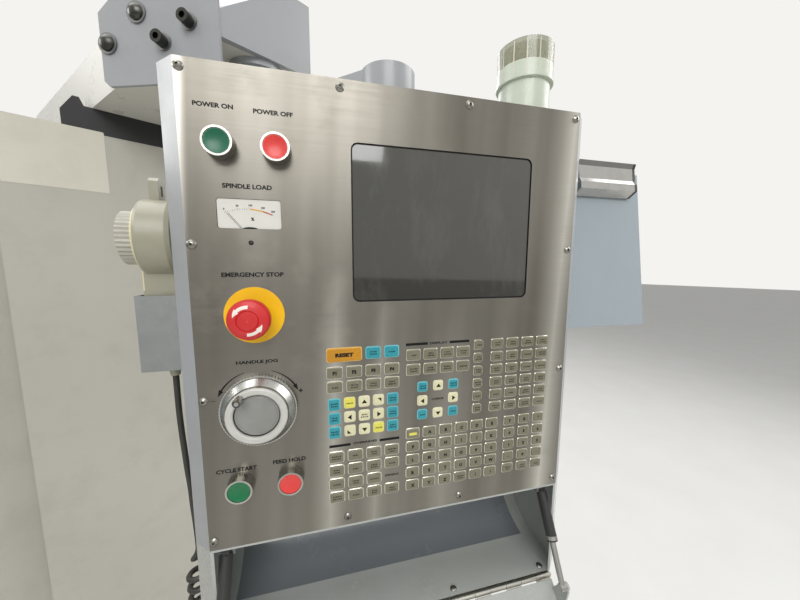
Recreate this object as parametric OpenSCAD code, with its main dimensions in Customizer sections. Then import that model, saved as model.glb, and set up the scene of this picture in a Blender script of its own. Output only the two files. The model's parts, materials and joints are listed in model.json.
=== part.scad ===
// Vertical machining centre with a swivelling control pendant.
// Frame: +X right, +Y back, +Z up, and the machine's front faces -Y.
// The origin is the centre of the four floor anchor holes, at floor level.

/* [Enclosure] */
// Width over the side panels
enclosure_w = 2100; // [2040:10:2200]
// Reach of the front panels ahead of the anchor centre
front_reach = 900; // [880:5:940]
// Reach of the side panels behind the anchor centre
back_reach = 500; // [480:5:560]
// Height of the enclosure's top edge
enclosure_h = 1795; // [1780:5:1810]
// Height of the enclosure's lower edge above the floor
skirt_z = 60; // [40:5:90]
// Thickness of the sheet metal
sheet = 3; // [2:0.5:4]
// Width of the door opening
opening_w = 1200; // [1120:10:1230]
// Height of the door sill above the floor
sill_z = 700; // [670:5:740]
// Height of the header over the doors
header_h = 95; // [80:5:120]
// Depth of the flanges along the top edges
top_flange = 90; // [70:5:120]

/* [Doors] */
// Depth of a door
door_t = 30; // [20:1:34]
// Width that each door tucks behind its front panel
door_overlap = 20; // [10:1:40]
// Width of a door's window
window_w = 420; // [300:10:480]
// Height of a door's window
window_h = 560; // [400:10:700]
// Thickness of the window glass
glass_t = 6; // [4:0.5:10]
// Length of a door handle's bar
handle_l = 260; // [180:10:360]

/* [Base and column] */
// Spacing of the floor anchors across the machine
anchor_dx = 760; // [740:5:800]
// Spacing of the floor anchors along the machine
anchor_dy = 1300; // [1200:10:1360]
// Radius of a floor anchor hole
anchor_r = 9; // [7:0.5:11]
// Height of the base's underside above the floor
foot_z = 60; // [50:1:80]
// Width of the base flange
base_w = 680; // [660:5:700]
// Reach of the base ahead of the anchor centre
base_front = 720; // [700:5:740]
// Reach of the base behind the anchor centre
base_back = 870; // [860:5:900]
// Width of the bed under the ways
bed_w = 560; // [520:5:600]
// Height of the bed's top
bed_z = 520; // [500:5:540]
// Height of the column's seat
seat_z = 560; // [545:5:600]
// Wall thickness of the castings
cast_wall = 40; // [30:1:50]
// Width of the column
column_w = 600; // [540:10:640]
// Distance from the spindle axis back to the column's front
column_y = 450; // [445:1:470]
// Depth of the column
column_d = 400; // [360:5:410]
// Height of the column's top
column_z = 2150; // [2120:5:2250]

/* [Axes] */
// Spacing of the fore-and-aft rails
y_rail_dx = 400; // [360:5:430]
// Spacing of the cross rails
x_rail_dy = 220; // [200:5:240]
// Spacing of the upright rails
z_rail_dx = 220; // [200:5:225]
// Width of a guide rail
rail_w = 34; // [28:1:40]
// Height of a guide rail
rail_h = 28; // [24:1:32]
// Cross travel
travel_x = 508; // [400:2:520]
// Fore-and-aft travel
travel_y = 406; // [300:2:420]
// Upright travel
travel_z = 508; // [400:2:520]

/* [Table and spindle] */
// Length of the table
table_l = 914; // [860:2:960]
// Depth of the table
table_d = 356; // [340:2:380]
// Height of the table's top
table_z = 820; // [810:1:840]
// Spacing of the table slots
slot_pitch = 125; // [110:1:130]
// Width of a table slot's mouth
slot_w = 16; // [12:1:20]
// Width of the saddle
saddle_w = 860; // [840:2:900]
// Depth of the saddle
saddle_d = 460; // [420:2:470]
// Height of the spindle nose with the head at the top
nose_z = 1430; // [1425:1:1460]
// Width of the spindle head
head_w = 300; // [260:5:310]
// Height of the head casting
head_h = 450; // [420:5:500]
// Radius of the spindle
spindle_r = 60; // [50:1:64]
// Gauge diameter of the spindle taper
taper_d = 44.45; // [40:0.05:50]

/* [Tool changer] */
// Distance of the parked carousel from the spindle axis
changer_x = 600; // [590:1:620]
// Height of the tool pockets
pocket_z = 1300; // [1280:1:1305]
// Radius of the circle of pockets
pocket_circle_r = 250; // [230:1:255]
// Number of tool pockets
pockets = 16; // [10:1:18]

/* [Boom] */
// Height of the boom's underside above the enclosure
boom_lift = 43; // [38:1:60]
// Height of the boom's upright wall
boom_wall_h = 82; // [70:1:100]
// Height of the boom
boom_h = 182; // [150:1:220]
// Height of the recess under the boom's front corner
boom_notch_h = 64; // [55:1:76]
// Thickness of the boom's sheet
boom_sheet = 4; // [3:0.5:8]
// Side of the swivel arm's square tube
arm_side = 60; // [50:1:62]
// Radius of the swivel pin
pin_r = 20; // [15:0.5:25]

/* [Pendant] */
// Turn of the pendant about its pin, towards the machine's middle
pendant_yaw = 31; // [0:1:45]
// Height of the panel's top edge
pendant_top = 1760; // [1740:1:1765]
// Width of the control panel
panel_w = 457; // [450:1:470]
// Height of the control panel
panel_h = 514; // [500:1:530]
// Thickness of the control panel
panel_t = 3; // [2:0.5:4]
// Depth of the pendant housing
housing_d = 150; // [140:1:170]
// Width of the bevel beside the panel
bevel_w = 19.5; // [15:0.5:22]
// Depth of the bevel beside the panel
bevel_d = 17.7; // [14:0.1:20]
// Thickness of the pendant's sheet
skin = 2.5; // [1.5:0.5:3]
// Width of the display opening
display_w = 226; // [200:1:230]
// Height of the display opening
display_h = 174; // [160:1:178]

/* [Controls] */
// Radius of a push button's bezel
bezel_r = 14.5; // [13.5:0.1:16]
// Height of a push button's bezel
bezel_h = 14; // [12:0.5:18]
// Travel of a push button
button_travel = 4; // [2:0.5:4]
// Radius of the stop button's head
stop_r = 20; // [18:0.5:24]
// Radius of the stop button's back plate
stop_plate_r = 30; // [28:0.5:32]
// Travel of the stop button
stop_travel = 5; // [3:0.5:6]
// Radius of the jog dial
dial_r = 40; // [36:0.5:42]
// Height of the jog dial
dial_h = 22; // [18:0.5:26]
// Radius of the dial's crank knob
knob_r = 4.6; // [4:0.1:5]
// Height of a key
key_h = 2.2; // [1.6:0.1:3]

/* [Storage bin] */
// Height of the storage bin
bin_h = 146; // [140:1:160]
// Radius of the bend between the bin's floor and back
bin_bend_r = 90; // [60:1:100]
// Angle that the open flap hangs below level
flap_droop = 45; // [30:1:60]
// Radius of the flap's hinge knuckles
knuckle_r = 3.5; // [3:0.1:4]
// Radius of a strut's tube
strut_r = 7.5; // [6.5:0.1:8]
// Length of a strut's tube
strut_tube_l = 73; // [65:1:80]
// Radius of a strut's rod
strut_rod_r = 4; // [3:0.1:4.5]

/* [Beacon, clipboard and remote handle] */
// Radius of the beacon's lens
beacon_r = 36; // [32:0.5:40]
// Height of the beacon
beacon_h = 92; // [80:1:110]
// Width of the clipboard
board_w = 150; // [140:1:170]
// Height of the clipboard
board_h = 240; // [220:1:260]
// Lean of the clipboard
board_lean = 8; // [4:0.5:12]
// Radius of the remote handle's round head
remote_r = 43; // [40:0.5:45]
// Side of the remote handle's grip
grip_side = 36; // [30:1:38]
// Diameter of the cord's curled stretch
curl_d = 33; // [28:1:36]

/* [Hidden] */
$fn = 48;

// Clearances between pieces
seat_gap = 0.3;
running_gap = 0.05;
screw_gap = 0.3;

// Colours
casting_grey = "#6a6f72";
machine_cream = "#b9b6ab";
boom_white = "#d2d0c8";
pendant_grey = "#a5a8ad";
bin_cream = "#c3c6b6";
steel = "#b4b2ab";
dark = "#26282a";

// Feet
pad_side = 110;
pad_t = 20;
stud_r = 15;
stud_offset = 75;
nut_r = 26;
nut_h = 18;
lug_h = 60;

// Enclosure planes
half_w = enclosure_w / 2;
top_z = enclosure_h;
header_z = top_z - header_h;
jamb_depth = 18;
fold = 42;
door_y = -front_reach + 30;
sill_y0 = door_y - 10;
sill_y1 = door_y + 40;
sill_lip = 12;
bed_y1 = 430;
pan_y0 = sill_y1;
pan_y1 = back_reach - sheet;
plinth_x = column_w / 2 + 20;
pan_z = 240;
pan_top = sill_z - 10;
upstand_z = 400;
drain = [-800, -500];
drain_r = 30;
tank_h = pan_z - 34;
tank_x = [-half_w - 220, -base_w / 2 - 190];
tank_y = [drain[1] - 160, drain[1] + 420];
bay_gap = 10;
cabinet_w = 860;
cabinet_d = 300;
cabinet_h = 1500;
cabinet_z0 = 480;

// Doors
door_w = opening_w / 2 + door_overlap;
door_z0 = sill_z + 4;
door_z1 = header_z + 30;
rail_bar = 20;
rail_bar_z = header_z + 55;
rail_y0 = door_y + 9;
rail_y1 = door_y + 22;
hook_t = 3;
handle_r = 11;
handle_reach = 45;
handle_x = 60;
window_lap = 12;

// Slides
saddle_z0 = bed_z + rail_h + 14;
saddle_z1 = saddle_z0 + 78;
x_rail_z = saddle_z1 + rail_h;
shoe_w = 72;
shoe_l = 90;
shoe_grip = 24;
table_z0 = x_rail_z + 12;
rail_spare = 187;
head_z0 = nose_z + 70;
head_y0 = -130;
head_y1 = column_y - rail_h - 24;

// Tool changer
beam_y0 = 340;
beam_y1 = 390;
beam_z0 = pocket_z + 200;
beam_z1 = beam_z0 + 60;
beam_x0 = -960;
pocket_r = 31.5;

// Boom outline in plan: left rear, left front, nose left, nose right, right rear
boom_plan = [[638, -500], [748, -1015], [862, -1153], [1011, -1150], [1011, -500]];
boom_z = top_z + boom_lift;
notch_z = boom_z + boom_notch_h;
notch_y = -1000;
foot_x = [683, 1000];
post = [936, -1100];
arm_z0 = pendant_top + 10;
boss_r = 38;
post_r = 30;
plate_t = 5;
bolt_places = [[52, 100], [1, 60], [135, 82], [92, 57]];
bolt_r = 6;
foot_d = 40;
plate_left = 12;
plate_right = 180;

// Pendant pivot
pivot = [1016, -1351];
pivot_d = 110;
flange_w = 22;
hub_r = 42;
hub_h = arm_z0 - pendant_top - seat_gap;
cap_h = 4;

// Places on the panel, from its top left corner: across, down
screw_cols = [5, 153.8, 302.5, panel_w - 6.5];
screw_rows = [8.5, 173.5, 338, panel_h - 11];
power_on = [37, 77];
power_off = [89, 78];
cycle_start = [37, panel_h - 76];
feed_hold = [90, panel_h - 76];
dial_at = [60, panel_h - 162];
lamp_at = [60, 171];
display_at = [277, 149];
meter_at = [60, 142];
stop_at = [60, (meter_at[1] + dial_at[1]) / 2];
meter_size = [61, 30];
button_places = [power_on, power_off, cycle_start, feed_hold];
barrel_r = 11;
stem_r = 8.6;
cap_r = bezel_r - 3;
contact_side = 28;
dial_knob_at = [-15, 22];
encoder_r = 18;

// Key blocks: first key across and below the keypad's top row, columns, rows, pitch across and down, key size
keypad_v = panel_h - 218.2;
grey_blocks = [
    [[141.5, 22.2], [4, 2], [22.6, 17.3], [19.4, 14.6]],
    [[141.5, 126.6], [4, 4], [22.6, 17.3], [19.4, 14.6]],
    [[236.5, 7.5], [4, 2], [22, 18.6], [18.8, 14.8]],
    [[324.5, 0], [1, 6], [22, 17.2], [14.6, 13.6]],
    [[350.9, 0], [4, 6], [22.6, 17.2], [18.6, 13.8]],
    [[236.4, 109.2], [6, 5], [22.1, 17.5], [18.6, 14.4]],
    [[373.9, 109.2], [3, 5], [22.5, 17.3], [17.6, 14]]
];
spindle_label_key = [3, 2];
colour_blocks = [
    [[153.1, 1.1], [1, 1], [0, 0], [41, 17]],
    [[186.7, 0.8], [2, 1], [22.4, 0], [18.4, 15]],
    [[140.3, 60.6], [1, 3], [0, 17.3], [14.4, 15]],
    [[158.2, 60], [3, 3], [17.3, 17.4], [13.6, 14]],
    [[210.4, 60.2], [1, 3], [0, 17.3], [14.4, 15]],
    [[248.6, 49], [3, 3], [20.7, 18.1], [13.4, 13.4]]
];

// Bin, flap and struts, in depth and height below the panel's top
bin_z = panel_h + bin_h;
hinge = [-knuckle_r, bin_z + 0.5];
knuckle_l = 25;
hinge_pin_r = 1.8;
leaf_t = 1.2;
flap_l = 143;
flap_z0 = 0.7;
strut_us = [12, panel_w - 12];
strut_top = [18, panel_h + 12];
stay_out = [11, 39];
eye_r = 5;
eye_w = 9;
ear_t = 3;
strut_stud_r = 3;
flap_dir = [-cos(flap_droop), sin(flap_droop)];
flap_normal = [-sin(flap_droop), -cos(flap_droop)];
stay_at = hinge + stay_out[0] * flap_dir + stay_out[1] * flap_normal;
strut_run = stay_at - strut_top;
strut_l = norm(strut_run);
strut_angle = atan2(strut_run[0], strut_run[1]);

// Beacon, clipboard and remote handle
beacon_at = [407, 50];
beacon_joint = 45;
board_u = panel_w + bevel_w + skin;
board_top = [60, 50];
board_t = 2.5;
clip_w = 104;
handle_at = [-44, 62.5];
handle_turn = 8;
drum_v = 165;
drum_end = 16.75;
drum_w = 33.5;
drum_ring = 3.3;
wheel_gap = 2.2;
wheel_w = 12.8;
pocket_v = [228, 314];
pocket_u = [-68, -bevel_w];
pocket_d = [40, 85];
grip_end = 300;
lead_r = 3.5;
gland_at = [20, panel_h - 44];
gland_l = 15;
gland_r = 9;

// Route of the handle's cord: across, depth, height from the panel's top left corner
lead_start = [
    [-44, 62.5, -326], [-44, 62.5, -350], [-44, 63, -376], [-43.5, 64, -402], [-43, 66, -428],
    [-42.5, 68, -454], [-41.5, 70, -480], [-41, 71, -506], [-40, 72, -532], [-39, 72, -560], [-39, 72, -588]
];
curl_route = [
    [-39, 72, -588], [-39, 72, -620], [-39, 73, -655], [-39, 77, -690], [-38, 88, -720],
    [-37, 105, -740], [-35, 126, -746], [-33, 146, -738], [-31, 162, -716], [-30, 170, -688],
    [-29, 172, -655], [-29, 172, -620], [-29, 172, -588]
];
gland_v = gland_at[1];
lead_end = [
    [-29, 172, -588], [-29, 172, -562], [-28, 173, -gland_v - 68], [-26, 175, -gland_v - 45],
    [-19, 178, -gland_v - 24], [-7, 182, -gland_v - 9], [5, 185, -gland_v - 2], [15, 184, -gland_v],
    [gland_at[0], 178, -gland_v], [gland_at[0], housing_d + skin + gland_l, -gland_v]
];

// A box between two opposite corners
module block(low, high) {
    translate(low) cube(high - low);
}

// A rectangle with round corners, centred
module round_rect(size, r) {
    square([size[0] - 2 * r, size[1]], center = true);
    square([size[0], size[1] - 2 * r], center = true);
    for (x = [-1, 1], y = [-1, 1])
        translate([x * (size[0] / 2 - r), y * (size[1] / 2 - r)]) circle(r);
}

// A rectangle with cut corners, centred
module cut_rect(size, c) {
    x = size[0] / 2;
    y = size[1] / 2;
    polygon([[-x + c, -y], [x - c, -y], [x, -y + c], [x, y - c],
             [x - c, y], [-x + c, y], [-x, y - c], [-x, -y + c]]);
}

// The side of a guide rail: wide foot, waist and head
module rail_profile() {
    polygon([[-rail_w / 2, 0], [rail_w / 2, 0], [rail_w / 2, rail_h * 0.4], [rail_w * 0.38, rail_h * 0.55],
             [rail_w * 0.38, rail_h * 0.7], [rail_w / 2, rail_h * 0.8], [rail_w / 2, rail_h],
             [-rail_w / 2, rail_h], [-rail_w / 2, rail_h * 0.8], [-rail_w * 0.38, rail_h * 0.7],
             [-rail_w * 0.38, rail_h * 0.55], [-rail_w / 2, rail_h * 0.4]]);
}

// Extrudes a profile, drawn across and up, along X, Y or Z, centred on its length
module along_x(l) {
    rotate([90, 0, 90]) linear_extrude(l, center = true) children();
}

module along_y(l) {
    rotate([90, 0, 0]) linear_extrude(l, center = true) children();
}

module up_the_column(l) {
    mirror([0, 1, 0]) linear_extrude(l, center = true) children();
}

// The section of a carriage that straddles a rail and reaches up to high
module carriage_profile(high) {
    low = rail_h - shoe_grip;
    inner = rail_w / 2 + seat_gap;
    roof = rail_h + seat_gap;
    polygon([[-shoe_w / 2, low], [-inner, low], [-inner, roof], [inner, roof], [inner, low],
             [shoe_w / 2, low], [shoe_w / 2, high], [-shoe_w / 2, high]]);
}

// Base, column and ways
module base_casting() {
    bed_front = base_front - 20;
    color(casting_grey) difference() {
        union() {
            block([-base_w / 2, -base_front, foot_z], [base_w / 2, base_back, foot_z + lug_h + 10]);
            block([-bed_w / 2, -bed_front, foot_z], [bed_w / 2, base_back - 20, bed_z]);
            block([-plinth_x, bed_y1, foot_z], [plinth_x, base_back, seat_z]);
            for (x = [-1, 1], y = [-1, 1])
                translate([x * anchor_dx / 2, y * (anchor_dy / 2 - stud_offset), foot_z])
                    block([-50, -45, 0], [50, 45, lug_h]);
        }
        block([-bed_w / 2 + cast_wall, -bed_front + cast_wall, foot_z - 1],
              [bed_w / 2 - cast_wall, base_back - 20 - cast_wall, bed_z - 2 * cast_wall]);
        block([-y_rail_dx / 2 + 50, -base_front, bed_z - 30], [y_rail_dx / 2 - 50, bed_y1, bed_z + 1]);
        for (y = [-480, -160, 160])
            translate([0, y, foot_z + 125]) rotate([0, 90, 0])
                cylinder(r = 45, h = base_w + 2, center = true);
        for (x = [-1, 1], y = [-1, 1])
            translate([x * anchor_dx / 2, y * (anchor_dy / 2 - stud_offset), foot_z - 1])
                cylinder(r = stud_r + screw_gap, h = lug_h + 20);
    }
}

module leveling_foot() {
    difference() {
        union() {
            block([-pad_side / 2, -stud_offset - pad_side / 2, 0], [pad_side / 2, 45, pad_t]);
            translate([0, -stud_offset, 0]) {
                cylinder(r = stud_r, h = foot_z + lug_h + nut_h + 35);
                cylinder(r = nut_r, h = pad_t + 8);
                translate([0, 0, foot_z - nut_h]) cylinder(r = nut_r, h = nut_h, $fn = 6);
                translate([0, 0, foot_z + lug_h]) cylinder(r = nut_r, h = nut_h, $fn = 6);
            }
        }
        translate([0, 0, -1]) cylinder(r = anchor_r, h = pad_t + 2);
    }
}

module leveling_feet() {
    color("#3f4345") for (x = [0, 1], y = [0, 1])
        mirror([x, 0, 0]) mirror([0, y, 0]) translate([anchor_dx / 2, anchor_dy / 2, 0]) leveling_foot();
}

module column_casting() {
    x = column_w / 2;
    back = column_y + column_d;
    color(casting_grey) {
        difference() {
            union() {
                block([-x, column_y, seat_z], [x, back, column_z]);
                block([-x - 20, column_y + 10, seat_z], [x + 20, back, seat_z + 50]);
            }
            block([-x + cast_wall, column_y + cast_wall, seat_z + cast_wall],
                  [x - cast_wall, back + 1, column_z - cast_wall]);
            block([-z_rail_dx / 2 + 45, column_y - 1, seat_z + 200],
                  [z_rail_dx / 2 - 45, column_y + 14, column_z - 100]);
            for (z = [900, 1300, 1700])
                translate([0, column_y + column_d / 2, z]) rotate([0, 90, 0])
                    cylinder(r = 80, h = column_w + 42, center = true);
        }
        for (z = [seat_z + 520, seat_z + 930])
            block([-x + cast_wall, column_y + cast_wall, z], [x - cast_wall, back - 20, z + 30]);
    }
}

module guide_rails() {
    y_rail_l = bed_y1 - 5 + travel_y / 2 + saddle_d / 2 + rail_spare;
    z_rail_l = column_z - 30 - (nose_z - travel_z - 10);
    color("#8d9296") {
        for (x = [-1, 1])
            translate([x * y_rail_dx / 2, bed_y1 - 5 - y_rail_l / 2, bed_z]) along_y(y_rail_l) rail_profile();
        for (x = [-1, 1])
            translate([x * z_rail_dx / 2, column_y, column_z - 30 - z_rail_l / 2])
                up_the_column(z_rail_l) rail_profile();
    }
}

// Chip pan round the bed, and the coolant tank under its drain
module chip_pan() {
    x = half_w - sheet;
    bed_x = bed_w / 2;
    bed_front = base_front - 20;
    color("#8f9293") difference() {
        union() {
            difference() {
                block([-x, pan_y0, pan_z], [x, pan_y1, pan_top]);
                block([-x + sheet, pan_y0 + sheet, pan_z + sheet], [x - sheet, pan_y1 - sheet, pan_top + 1]);
            }
            block([-bed_x - sheet, -bed_front - sheet, pan_z], [bed_x + sheet, bed_y1, upstand_z]);
            block([-plinth_x - sheet, bed_y1 - sheet, pan_z], [plinth_x + sheet, pan_y1, upstand_z]);
            translate([drain[0], drain[1], tank_h + seat_gap]) cylinder(r = drain_r, h = pan_z - tank_h);
        }
        block([-bed_x, -bed_front, pan_z - 1], [bed_x, bed_y1 + 1, pan_top + 1]);
        block([-plinth_x, bed_y1, pan_z - 1], [plinth_x, pan_y1 + 1, pan_top + 1]);
        translate([drain[0], drain[1], tank_h]) cylinder(r = drain_r - sheet, h = pan_z);
    }
}

module coolant_tank() {
    low = [tank_x[0], tank_y[0], 0];
    far = [tank_x[1], tank_y[1], tank_h];
    color("#8f9293") difference() {
        union() {
            block(low, far);
            block([low[0] + 40, low[1] + 60, tank_h], [-half_w - 30, far[1] - 60, tank_h + 12]);
        }
        block(low + [sheet, sheet, sheet], far - [sheet, sheet, sheet]);
        translate([drain[0], drain[1], tank_h - 10]) cylinder(r = drain_r - 6, h = 20);
    }
}

module coolant_pump() {
    color(dark) translate([-half_w - 120, tank_y[1] - 200, tank_h + 12]) {
        cylinder(r = 62, h = 10);
        cylinder(r = 48, h = 130);
        for (i = [0:11]) rotate([0, 0, 30 * i]) block([40, -2, 40], [60, 2, 122]);
        translate([0, 0, 130]) cylinder(r = 57, h = 25);
        translate([0, 0, 24]) rotate([90, 0, 0]) cylinder(r = 12, h = 74);
    }
}

// Folded sheet panels of the enclosure
module side_panel() {
    x1 = half_w;
    color(machine_cream) {
        block([x1 - sheet, -front_reach + sheet, skirt_z], [x1, back_reach, top_z]);
        block([x1 - top_flange, -front_reach + fold, top_z - sheet], [x1, back_reach, top_z]);
        block([x1 - 40, back_reach - sheet, skirt_z], [x1, back_reach, top_z]);
        block([x1 - 40, -front_reach + fold, skirt_z], [x1, back_reach, skirt_z + sheet]);
    }
}

module right_side_panel() {
    side_panel();
}

module left_side_panel() {
    difference() {
        mirror([1, 0, 0]) side_panel();
        block([-half_w - 1, tank_y[0] - bay_gap, skirt_z - 1], [-half_w + 50, tank_y[1] + bay_gap, tank_h + 2 * bay_gap]);
    }
}

module front_panel() {
    x0 = opening_w / 2;
    y0 = -front_reach;
    color(machine_cream) {
        block([x0, y0, skirt_z], [half_w, y0 + sheet, top_z]);
        block([x0, y0, skirt_z], [x0 + sheet, y0 + jamb_depth, top_z]);
        block([x0, y0, top_z - sheet], [half_w - sheet, y0 + fold, top_z]);
        block([x0, y0, skirt_z], [half_w - sheet, y0 + jamb_depth, skirt_z + sheet]);
    }
}

module right_front_panel() {
    front_panel();
}

module left_front_panel() {
    mirror([1, 0, 0]) front_panel();
}

module front_apron() {
    x = opening_w / 2;
    run = half_w - sheet - 3;
    y0 = -front_reach;
    color(machine_cream) {
        block([-x, y0, skirt_z], [x, y0 + sheet, sill_z]);
        block([-x, y0, sill_z - sheet], [x, sill_y0 + sheet, sill_z]);
        block([-x, y0, skirt_z], [x, y0 + jamb_depth, skirt_z + sheet]);
        block([-run, sill_y0, sill_z - sheet], [run, sill_y1, sill_z]);
        block([-run, sill_y0, sill_z - sheet], [run, sill_y0 + sheet, sill_z + sill_lip]);
        block([-run, sill_y1 - sheet, sill_z - sheet], [run, sill_y1, sill_z + sill_lip]);
    }
}

module door_header() {
    x = opening_w / 2;
    run = half_w - sheet - 3;
    y0 = -front_reach;
    color(machine_cream) {
        block([-x, y0, header_z], [x, y0 + sheet, top_z]);
        block([-x, y0, top_z - sheet], [x, y0 + 100, top_z]);
        block([-x, y0, header_z], [x, y0 + 12, header_z + sheet]);
        block([-run, rail_y1 - sheet, rail_bar_z], [run, rail_y1, top_z - sheet]);
        block([-run, rail_y0, rail_bar_z], [run, rail_y1, rail_bar_z + rail_bar]);
    }
}

// A right-hand door with its closing edge at x = 0
module door() {
    high = door_z1 - door_z0;
    win_x = (door_w - window_w) / 2;
    win_z = high - 150 - window_h;
    color(machine_cream) {
        difference() {
            cube([door_w, door_t, high]);
            translate([sheet, sheet, sheet]) cube([door_w - 2 * sheet, door_t, high - 2 * sheet]);
            translate([win_x, -1, win_z]) cube([window_w, door_t, window_h]);
        }
        for (x = [60, door_w - 120]) {
            translate([x, door_t / 2 - 11, high - sheet]) cube([60, hook_t, rail_bar_z + rail_bar - door_z1 + 14]);
            translate([x, door_t / 2 - 11, rail_bar_z + rail_bar + seat_gap - door_z0]) cube([60, 14, 8]);
        }
    }
    color("#b9bcbd") {
        translate([handle_x, -handle_reach, high / 2 - handle_l / 2]) cylinder(r = handle_r, h = handle_l);
        for (z = [-1, 1])
            translate([handle_x, 0, high / 2 + z * (handle_l / 2 - 25)]) rotate([90, 0, 0])
                cylinder(r = 8, h = handle_reach);
    }
}

module door_window() {
    win_x = (door_w - window_w) / 2 - window_lap;
    win_z = door_z1 - door_z0 - 150 - window_h - window_lap;
    color("#9fb4bd") translate([win_x, sheet, win_z])
        cube([window_w + 2 * window_lap, glass_t, window_h + 2 * window_lap]);
}

module at_right_door() {
    translate([seat_gap, door_y, door_z0]) children();
}

module right_door() {
    at_right_door() door();
}

module right_window() {
    at_right_door() door_window();
}

module left_door() {
    mirror([1, 0, 0]) at_right_door() door();
}

module left_window() {
    mirror([1, 0, 0]) at_right_door() door_window();
}

module electrical_cabinet() {
    y0 = base_back + 5;
    y1 = y0 + cabinet_d;
    low = [-cabinet_w / 2, y0, cabinet_z0];
    far = [cabinet_w / 2, y1, cabinet_z0 + cabinet_h];
    column_back = column_y + column_d;
    color(machine_cream) difference() {
        union() {
            block(low, far);
            block([low[0] + 30, y1, low[2] + 30], [-3, y1 + 12, far[2] - 30]);
            block([3, y1, low[2] + 30], [far[0] - 30, y1 + 12, far[2] - 30]);
            for (x = [-1, 1], z = [low[2] + 200, far[2] - 260])
                translate([x * (column_w / 2 - 22), column_back, z]) block([-13, 0, 0], [13, y0 - column_back, 120]);
        }
        block(low + [sheet, sheet, sheet], far - [sheet, sheet, sheet]);
        for (x = [-300, 140], z = [0:6])
            block([x, y1 - 10, low[2] + 90 + 24 * z], [x + 160, y1 + 13, low[2] + 98 + 24 * z]);
    }
    color(dark) translate([60, y1 + 12, 1300]) rotate([-90, 0, 0]) cylinder(r = 32, h = 18);
}

// Moving castings
module saddle_casting() {
    x = saddle_w / 2;
    y = saddle_d / 2;
    color(casting_grey) {
        difference() {
            block([-x, -y, saddle_z0], [x, y, saddle_z1]);
            for (s = [-1, 1])
                block([s * 335 - 70, -y + cast_wall, saddle_z0 - 1], [s * 335 + 70, y - cast_wall, saddle_z1 - 20]);
            block([-90, -y + cast_wall, saddle_z0 - 1], [90, y - cast_wall, saddle_z1 - 20]);
        }
        for (i = [-1, 1], j = [-1, 1])
            translate([i * y_rail_dx / 2, j * (y - shoe_l / 2 - 20), bed_z])
                along_y(shoe_l) carriage_profile(saddle_z0 - bed_z);
        for (j = [-1, 1])
            translate([0, j * x_rail_dy / 2, saddle_z1]) along_x(saddle_w) rail_profile();
    }
}

module work_table() {
    x = table_l / 2;
    y = table_d / 2;
    color("#9a9d9e") {
        difference() {
            union() {
                block([-x, -y, table_z - 70], [x, y, table_z]);
                block([-x + 30, -y + 20, table_z0], [x - 30, y - 20, table_z - 70]);
            }
            for (j = [-1:1]) {
                block([-x - 1, j * slot_pitch - slot_w / 2, table_z - 30],
                      [x + 1, j * slot_pitch + slot_w / 2, table_z + 1]);
                block([-x - 1, j * slot_pitch - slot_w * 0.9, table_z - 36],
                      [x + 1, j * slot_pitch + slot_w * 0.9, table_z - 22]);
            }
            block([-x + 70, -30, table_z0 - 1], [x - 70, 30, table_z - 70]);
        }
        for (i = [-1, 1], j = [-1, 1])
            translate([i * (saddle_w / 2 - travel_x / 2 - shoe_l / 2), j * x_rail_dy / 2, saddle_z1])
                along_x(shoe_l) carriage_profile(table_z0 - saddle_z1);
    }
}

module spindle_head() {
    x = head_w / 2;
    core_w = z_rail_dx - shoe_w - 20;
    color(machine_cream) difference() {
        union() {
            block([-x, head_y0, head_z0], [x, head_y1, head_z0 + head_h]);
            translate([0, 0, nose_z + 12]) cylinder(r = spindle_r + 35, h = head_z0 - nose_z);
            for (i = [-1, 1], z = [head_z0 + 60, head_z0 + head_h - 60])
                translate([i * z_rail_dx / 2, column_y, z]) up_the_column(shoe_l)
                    carriage_profile(column_y - head_y1);
        }
        translate([0, 0, nose_z]) cylinder(r = spindle_r + running_gap, h = head_h + 200);
        block([-core_w / 2, spindle_r + cast_wall, head_z0 + cast_wall + 10],
              [core_w / 2, head_y1 + 1, head_z0 + head_h - cast_wall - 10]);
        for (i = [-1, 1])
            translate([i * x, head_y0, head_z0 - 1]) rotate([0, 0, 45])
                block([-30, -30, 0], [30, 30, head_h + 2]);
    }
}

module spindle() {
    taper_l = 68;
    color("#b8bbbd") difference() {
        union() {
            translate([0, 0, nose_z]) cylinder(r = spindle_r, h = head_z0 + head_h - nose_z - 20);
            for (i = [-1, 1])
                block([i * 41 - 9, -8, nose_z - 8], [i * 41 + 9, 8, nose_z + 1]);
        }
        translate([0, 0, nose_z - 9]) cylinder(d = taper_d, h = 9);
        translate([0, 0, nose_z]) cylinder(d1 = taper_d, d2 = taper_d - taper_l * 7 / 24, h = taper_l);
        translate([0, 0, nose_z + taper_l]) cylinder(r = 9, h = head_h);
    }
}

module spindle_motor() {
    side = head_w - 80;
    z0 = head_z0 + head_h;
    color(dark) difference() {
        union() {
            block([-side / 2 - 20, -side / 2 - 10, z0], [side / 2 + 20, side / 2 + 10, z0 + 20]);
            block([-side / 2, -side / 2, z0 + 20], [side / 2, side / 2, z0 + 300]);
            block([side / 2, -45, z0 + 200], [side / 2 + 45, 45, z0 + 280]);
        }
        for (z = [0:7])
            difference() {
                block([-side, -side, z0 + 50 + 26 * z], [side / 2, side, z0 + 62 + 26 * z]);
                block([-side / 2 + 10, -side / 2 + 10, z0], [side / 2 + 1, side / 2 - 10, z0 + 300]);
            }
    }
}

// Tool changer: fixed beam, sliding arm and carousel
module tool_changer_beam() {
    color(casting_grey) {
        block([beam_x0, beam_y0, beam_z0], [-190, beam_y1, beam_z1]);
        block([-column_w / 2, beam_y1, beam_z0 - 40], [-200, column_y, beam_z1 + 40]);
    }
}

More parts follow.
